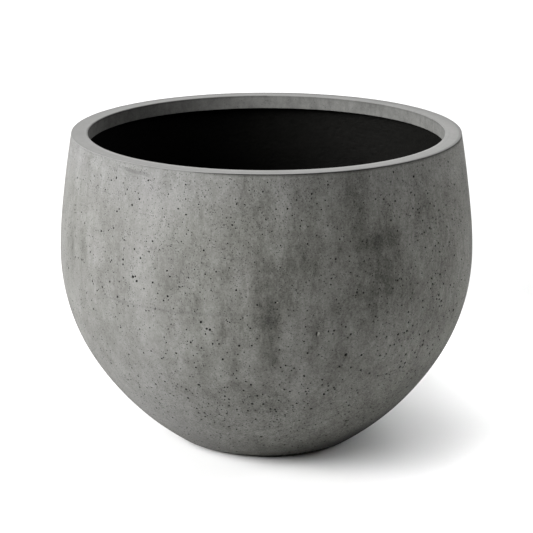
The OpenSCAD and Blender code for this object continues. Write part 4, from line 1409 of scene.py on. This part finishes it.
def glass_mesh():
    """A square net of glass yarn every 8 mm, bedded in cement."""
    k = Look("glass mesh", Specular_IOR_Level=0.4)
    sep = k.tree.nodes.new("ShaderNodeSeparateXYZ")
    k.link(k.coord, sep.inputs[0])
    angle = k.math("ARCTAN2", sep.outputs[0], sep.outputs[1])
    across = k.math("MULTIPLY", angle, 226.0 / TAU)
    radius = k.math("SQRT", k.math("ADD", k.math("MULTIPLY", sep.outputs[0], sep.outputs[0]),
                                   k.math("MULTIPLY", sep.outputs[1], sep.outputs[1])))
    along = k.math("MULTIPLY", k.math("SUBTRACT", sep.outputs[2], k.math("MULTIPLY", radius, 0.35)), 125.0)
    warp = k.noise(20, 2, 0.5, shift=1.4)
    u = k.math("FRACT", k.math("ADD", k.math("ADD", across, k.math("MULTIPLY", warp, 0.25)), 500.0))
    v = k.math("FRACT", k.math("ADD", k.math("ADD", along, k.math("MULTIPLY", warp, 0.25)), 500.0))
    yarn_u = k.remap(k.math("ABSOLUTE", k.math("SUBTRACT", u, 0.5)), 0.36, 0.42)
    yarn_v = k.remap(k.math("ABSOLUTE", k.math("SUBTRACT", v, 0.5)), 0.36, 0.42)
    yarn = k.math("MAXIMUM", yarn_u, yarn_v)
    twist = k.noise(1.0, 2, 0.5, at=k.scaled(1, 1, 0.4), shift=2.2)
    grain = k.noise(1.8, 3, 0.6, shift=3.4)
    slurry = k.scale_colour((0.30, 0.298, 0.28), k.total([(grain, 0.6, 0.5)]))
    glass = k.scale_colour((0.66, 0.67, 0.63), k.total([(twist, 0.5, 0.5)]))
    colour = k.mix(yarn, slurry, glass)
    rough = k.total([(twist, 0.2, 0.5), (grain, 0.2, 0.5)], 0.62)
    return k.finish(colour, rough, k.bump(k.total([(yarn, 1.0, 0.5), (twist, 0.3, 0.5)], 0.0), 0.35, 1.0))


def give(ob, mat):
    ob.data.materials.clear()
    ob.data.materials.append(mat)


def give_node(name, mat):
    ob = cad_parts[name]
    if not ob.material_slots:
        ob.data.materials.append(mat)
    for s in ob.material_slots:
        s.material = mat


give(face_cast, body_concrete())
give(rim_cast, rim_concrete())
give(coat_brushed, black_coat())
give(sleeve_moulded, sleeve_plastic())
give(plug_moulded, rubber("plug rubber", (0.021, 0.021, 0.022), 0.25))
give(pads_moulded, rubber("pad rubber", (0.020, 0.020, 0.020), 0.5))
give_node("backing_shell", fibre_concrete())
give_node("fibre_mesh", glass_mesh())

# ------------------------------------------------------------------ floor and light
FLOOR = 0.80
floor_me = bpy.data.meshes.new("floor")
side = 9.0
floor_me.from_pydata([(-side, -side, 0), (side, -side, 0), (side, side, 0), (-side, side, 0)], [], [(0, 1, 2, 3)])
floor = new_object("floor", floor_me)
floor_mat = bpy.data.materials.new("studio floor")
floor_mat.use_nodes = True
fb = floor_mat.node_tree.nodes["Principled BSDF"]
fb.inputs["Base Color"].default_value = (FLOOR, FLOOR, FLOOR, 1)
fb.inputs["Roughness"].default_value = 1.0
fb.inputs["Specular IOR Level"].default_value = 0.0
floor_me.materials.append(floor_mat)

# soft boxes: name, azimuth (0 is the camera's side, negative to the left),
# elevation, distance (m), width and height (m), radiance, and the point faced
LIGHTS = [
    ("key", -75.0, 25.0, 3.6, 1.6, 1.6, 27.6, (0.0, 0.0, 0.23)),
    ("front left", -45.0, 30.0, 3.6, 1.6, 1.6, 10.1, (0.0, 0.0, 0.23)),
    ("back high", 180.0, 67.0, 3.6, 1.6, 1.6, 5.1, (0.0, 0.0, 0.23)),
    ("back", 180.0, 25.0, 3.6, 1.6, 1.6, 2.5, (0.0, 0.0, 0.23)),
    ("floor behind", 0.0, 90.0, 2.6, 5.4, 3.8, 2.56, (0.0, 4.75, 0.0)),
    ("floor right front", 0.0, 90.0, 1.1, 0.8, 0.8, 2.5, (0.95, -0.3, 0.0)),
    # soft pools on the right side and on the floor beside it, each with its spread in degrees
    ("side right", 100.0, 20.0, 1.2, 0.4, 0.4, 0.45, (0.28, -0.02, 0.405), 16.0),
    ("pool right", 90.0, 65.0, 1.3, 0.3, 0.3, 3.35, (0.62, 0.12, 0.0), 24.0),
    ("pool behind", 90.0, 65.0, 1.3, 0.3, 0.3, 2.95, (0.50, 0.40, 0.0), 20.0),
    ("pool front", 60.0, 60.0, 1.3, 0.25, 0.25, 1.16, (0.40, -0.25, 0.0), 16.0),
    ("foot right", 90.0, 35.0, 1.4, 0.3, 0.3, 0.17, (0.27, 0.0, 0.0), 14.0),
    ("foot front right", 60.0, 35.0, 1.4, 0.3, 0.3, 0.18, (0.24, -0.05, 0.0), 14.0),
    ("foot front", 30.0, 35.0, 1.4, 0.3, 0.3, 0.06, (0.22, -0.10, 0.0), 14.0),
]


def add_light(name, az, el, dist, width, height, radiance, aim, spread=180.0):
    a, e = math.radians(az), math.radians(el)
    d = Vector((math.sin(a) * math.cos(e), -math.cos(a) * math.cos(e), math.sin(e)))
    data = bpy.data.lights.new(name, "AREA")
    data.shape = "RECTANGLE"
    data.size, data.size_y = width, height
    data.energy = radiance * math.pi * width * height
    data.spread = math.radians(spread)
    ob = bpy.data.objects.new(name, data)
    ob.location = Vector(aim) + d * dist
    ob.rotation_euler = (-d).to_track_quat("-Z", "Y").to_euler()
    bpy.context.scene.collection.objects.link(ob)
    return ob


for row in LIGHTS:
    add_light(*row)

WORLD = 0.0
world = bpy.data.worlds.new("studio")
world.use_nodes = True
world.node_tree.nodes["Background"].inputs[0].default_value = (1, 1, 1, 1)
world.node_tree.nodes["Background"].inputs[1].default_value = WORLD
bpy.context.scene.world = world
bpy.context.scene.view_settings.view_transform = "Standard"
bpy.context.scene.view_settings.look = "None"

bpy.context.view_layer.update()
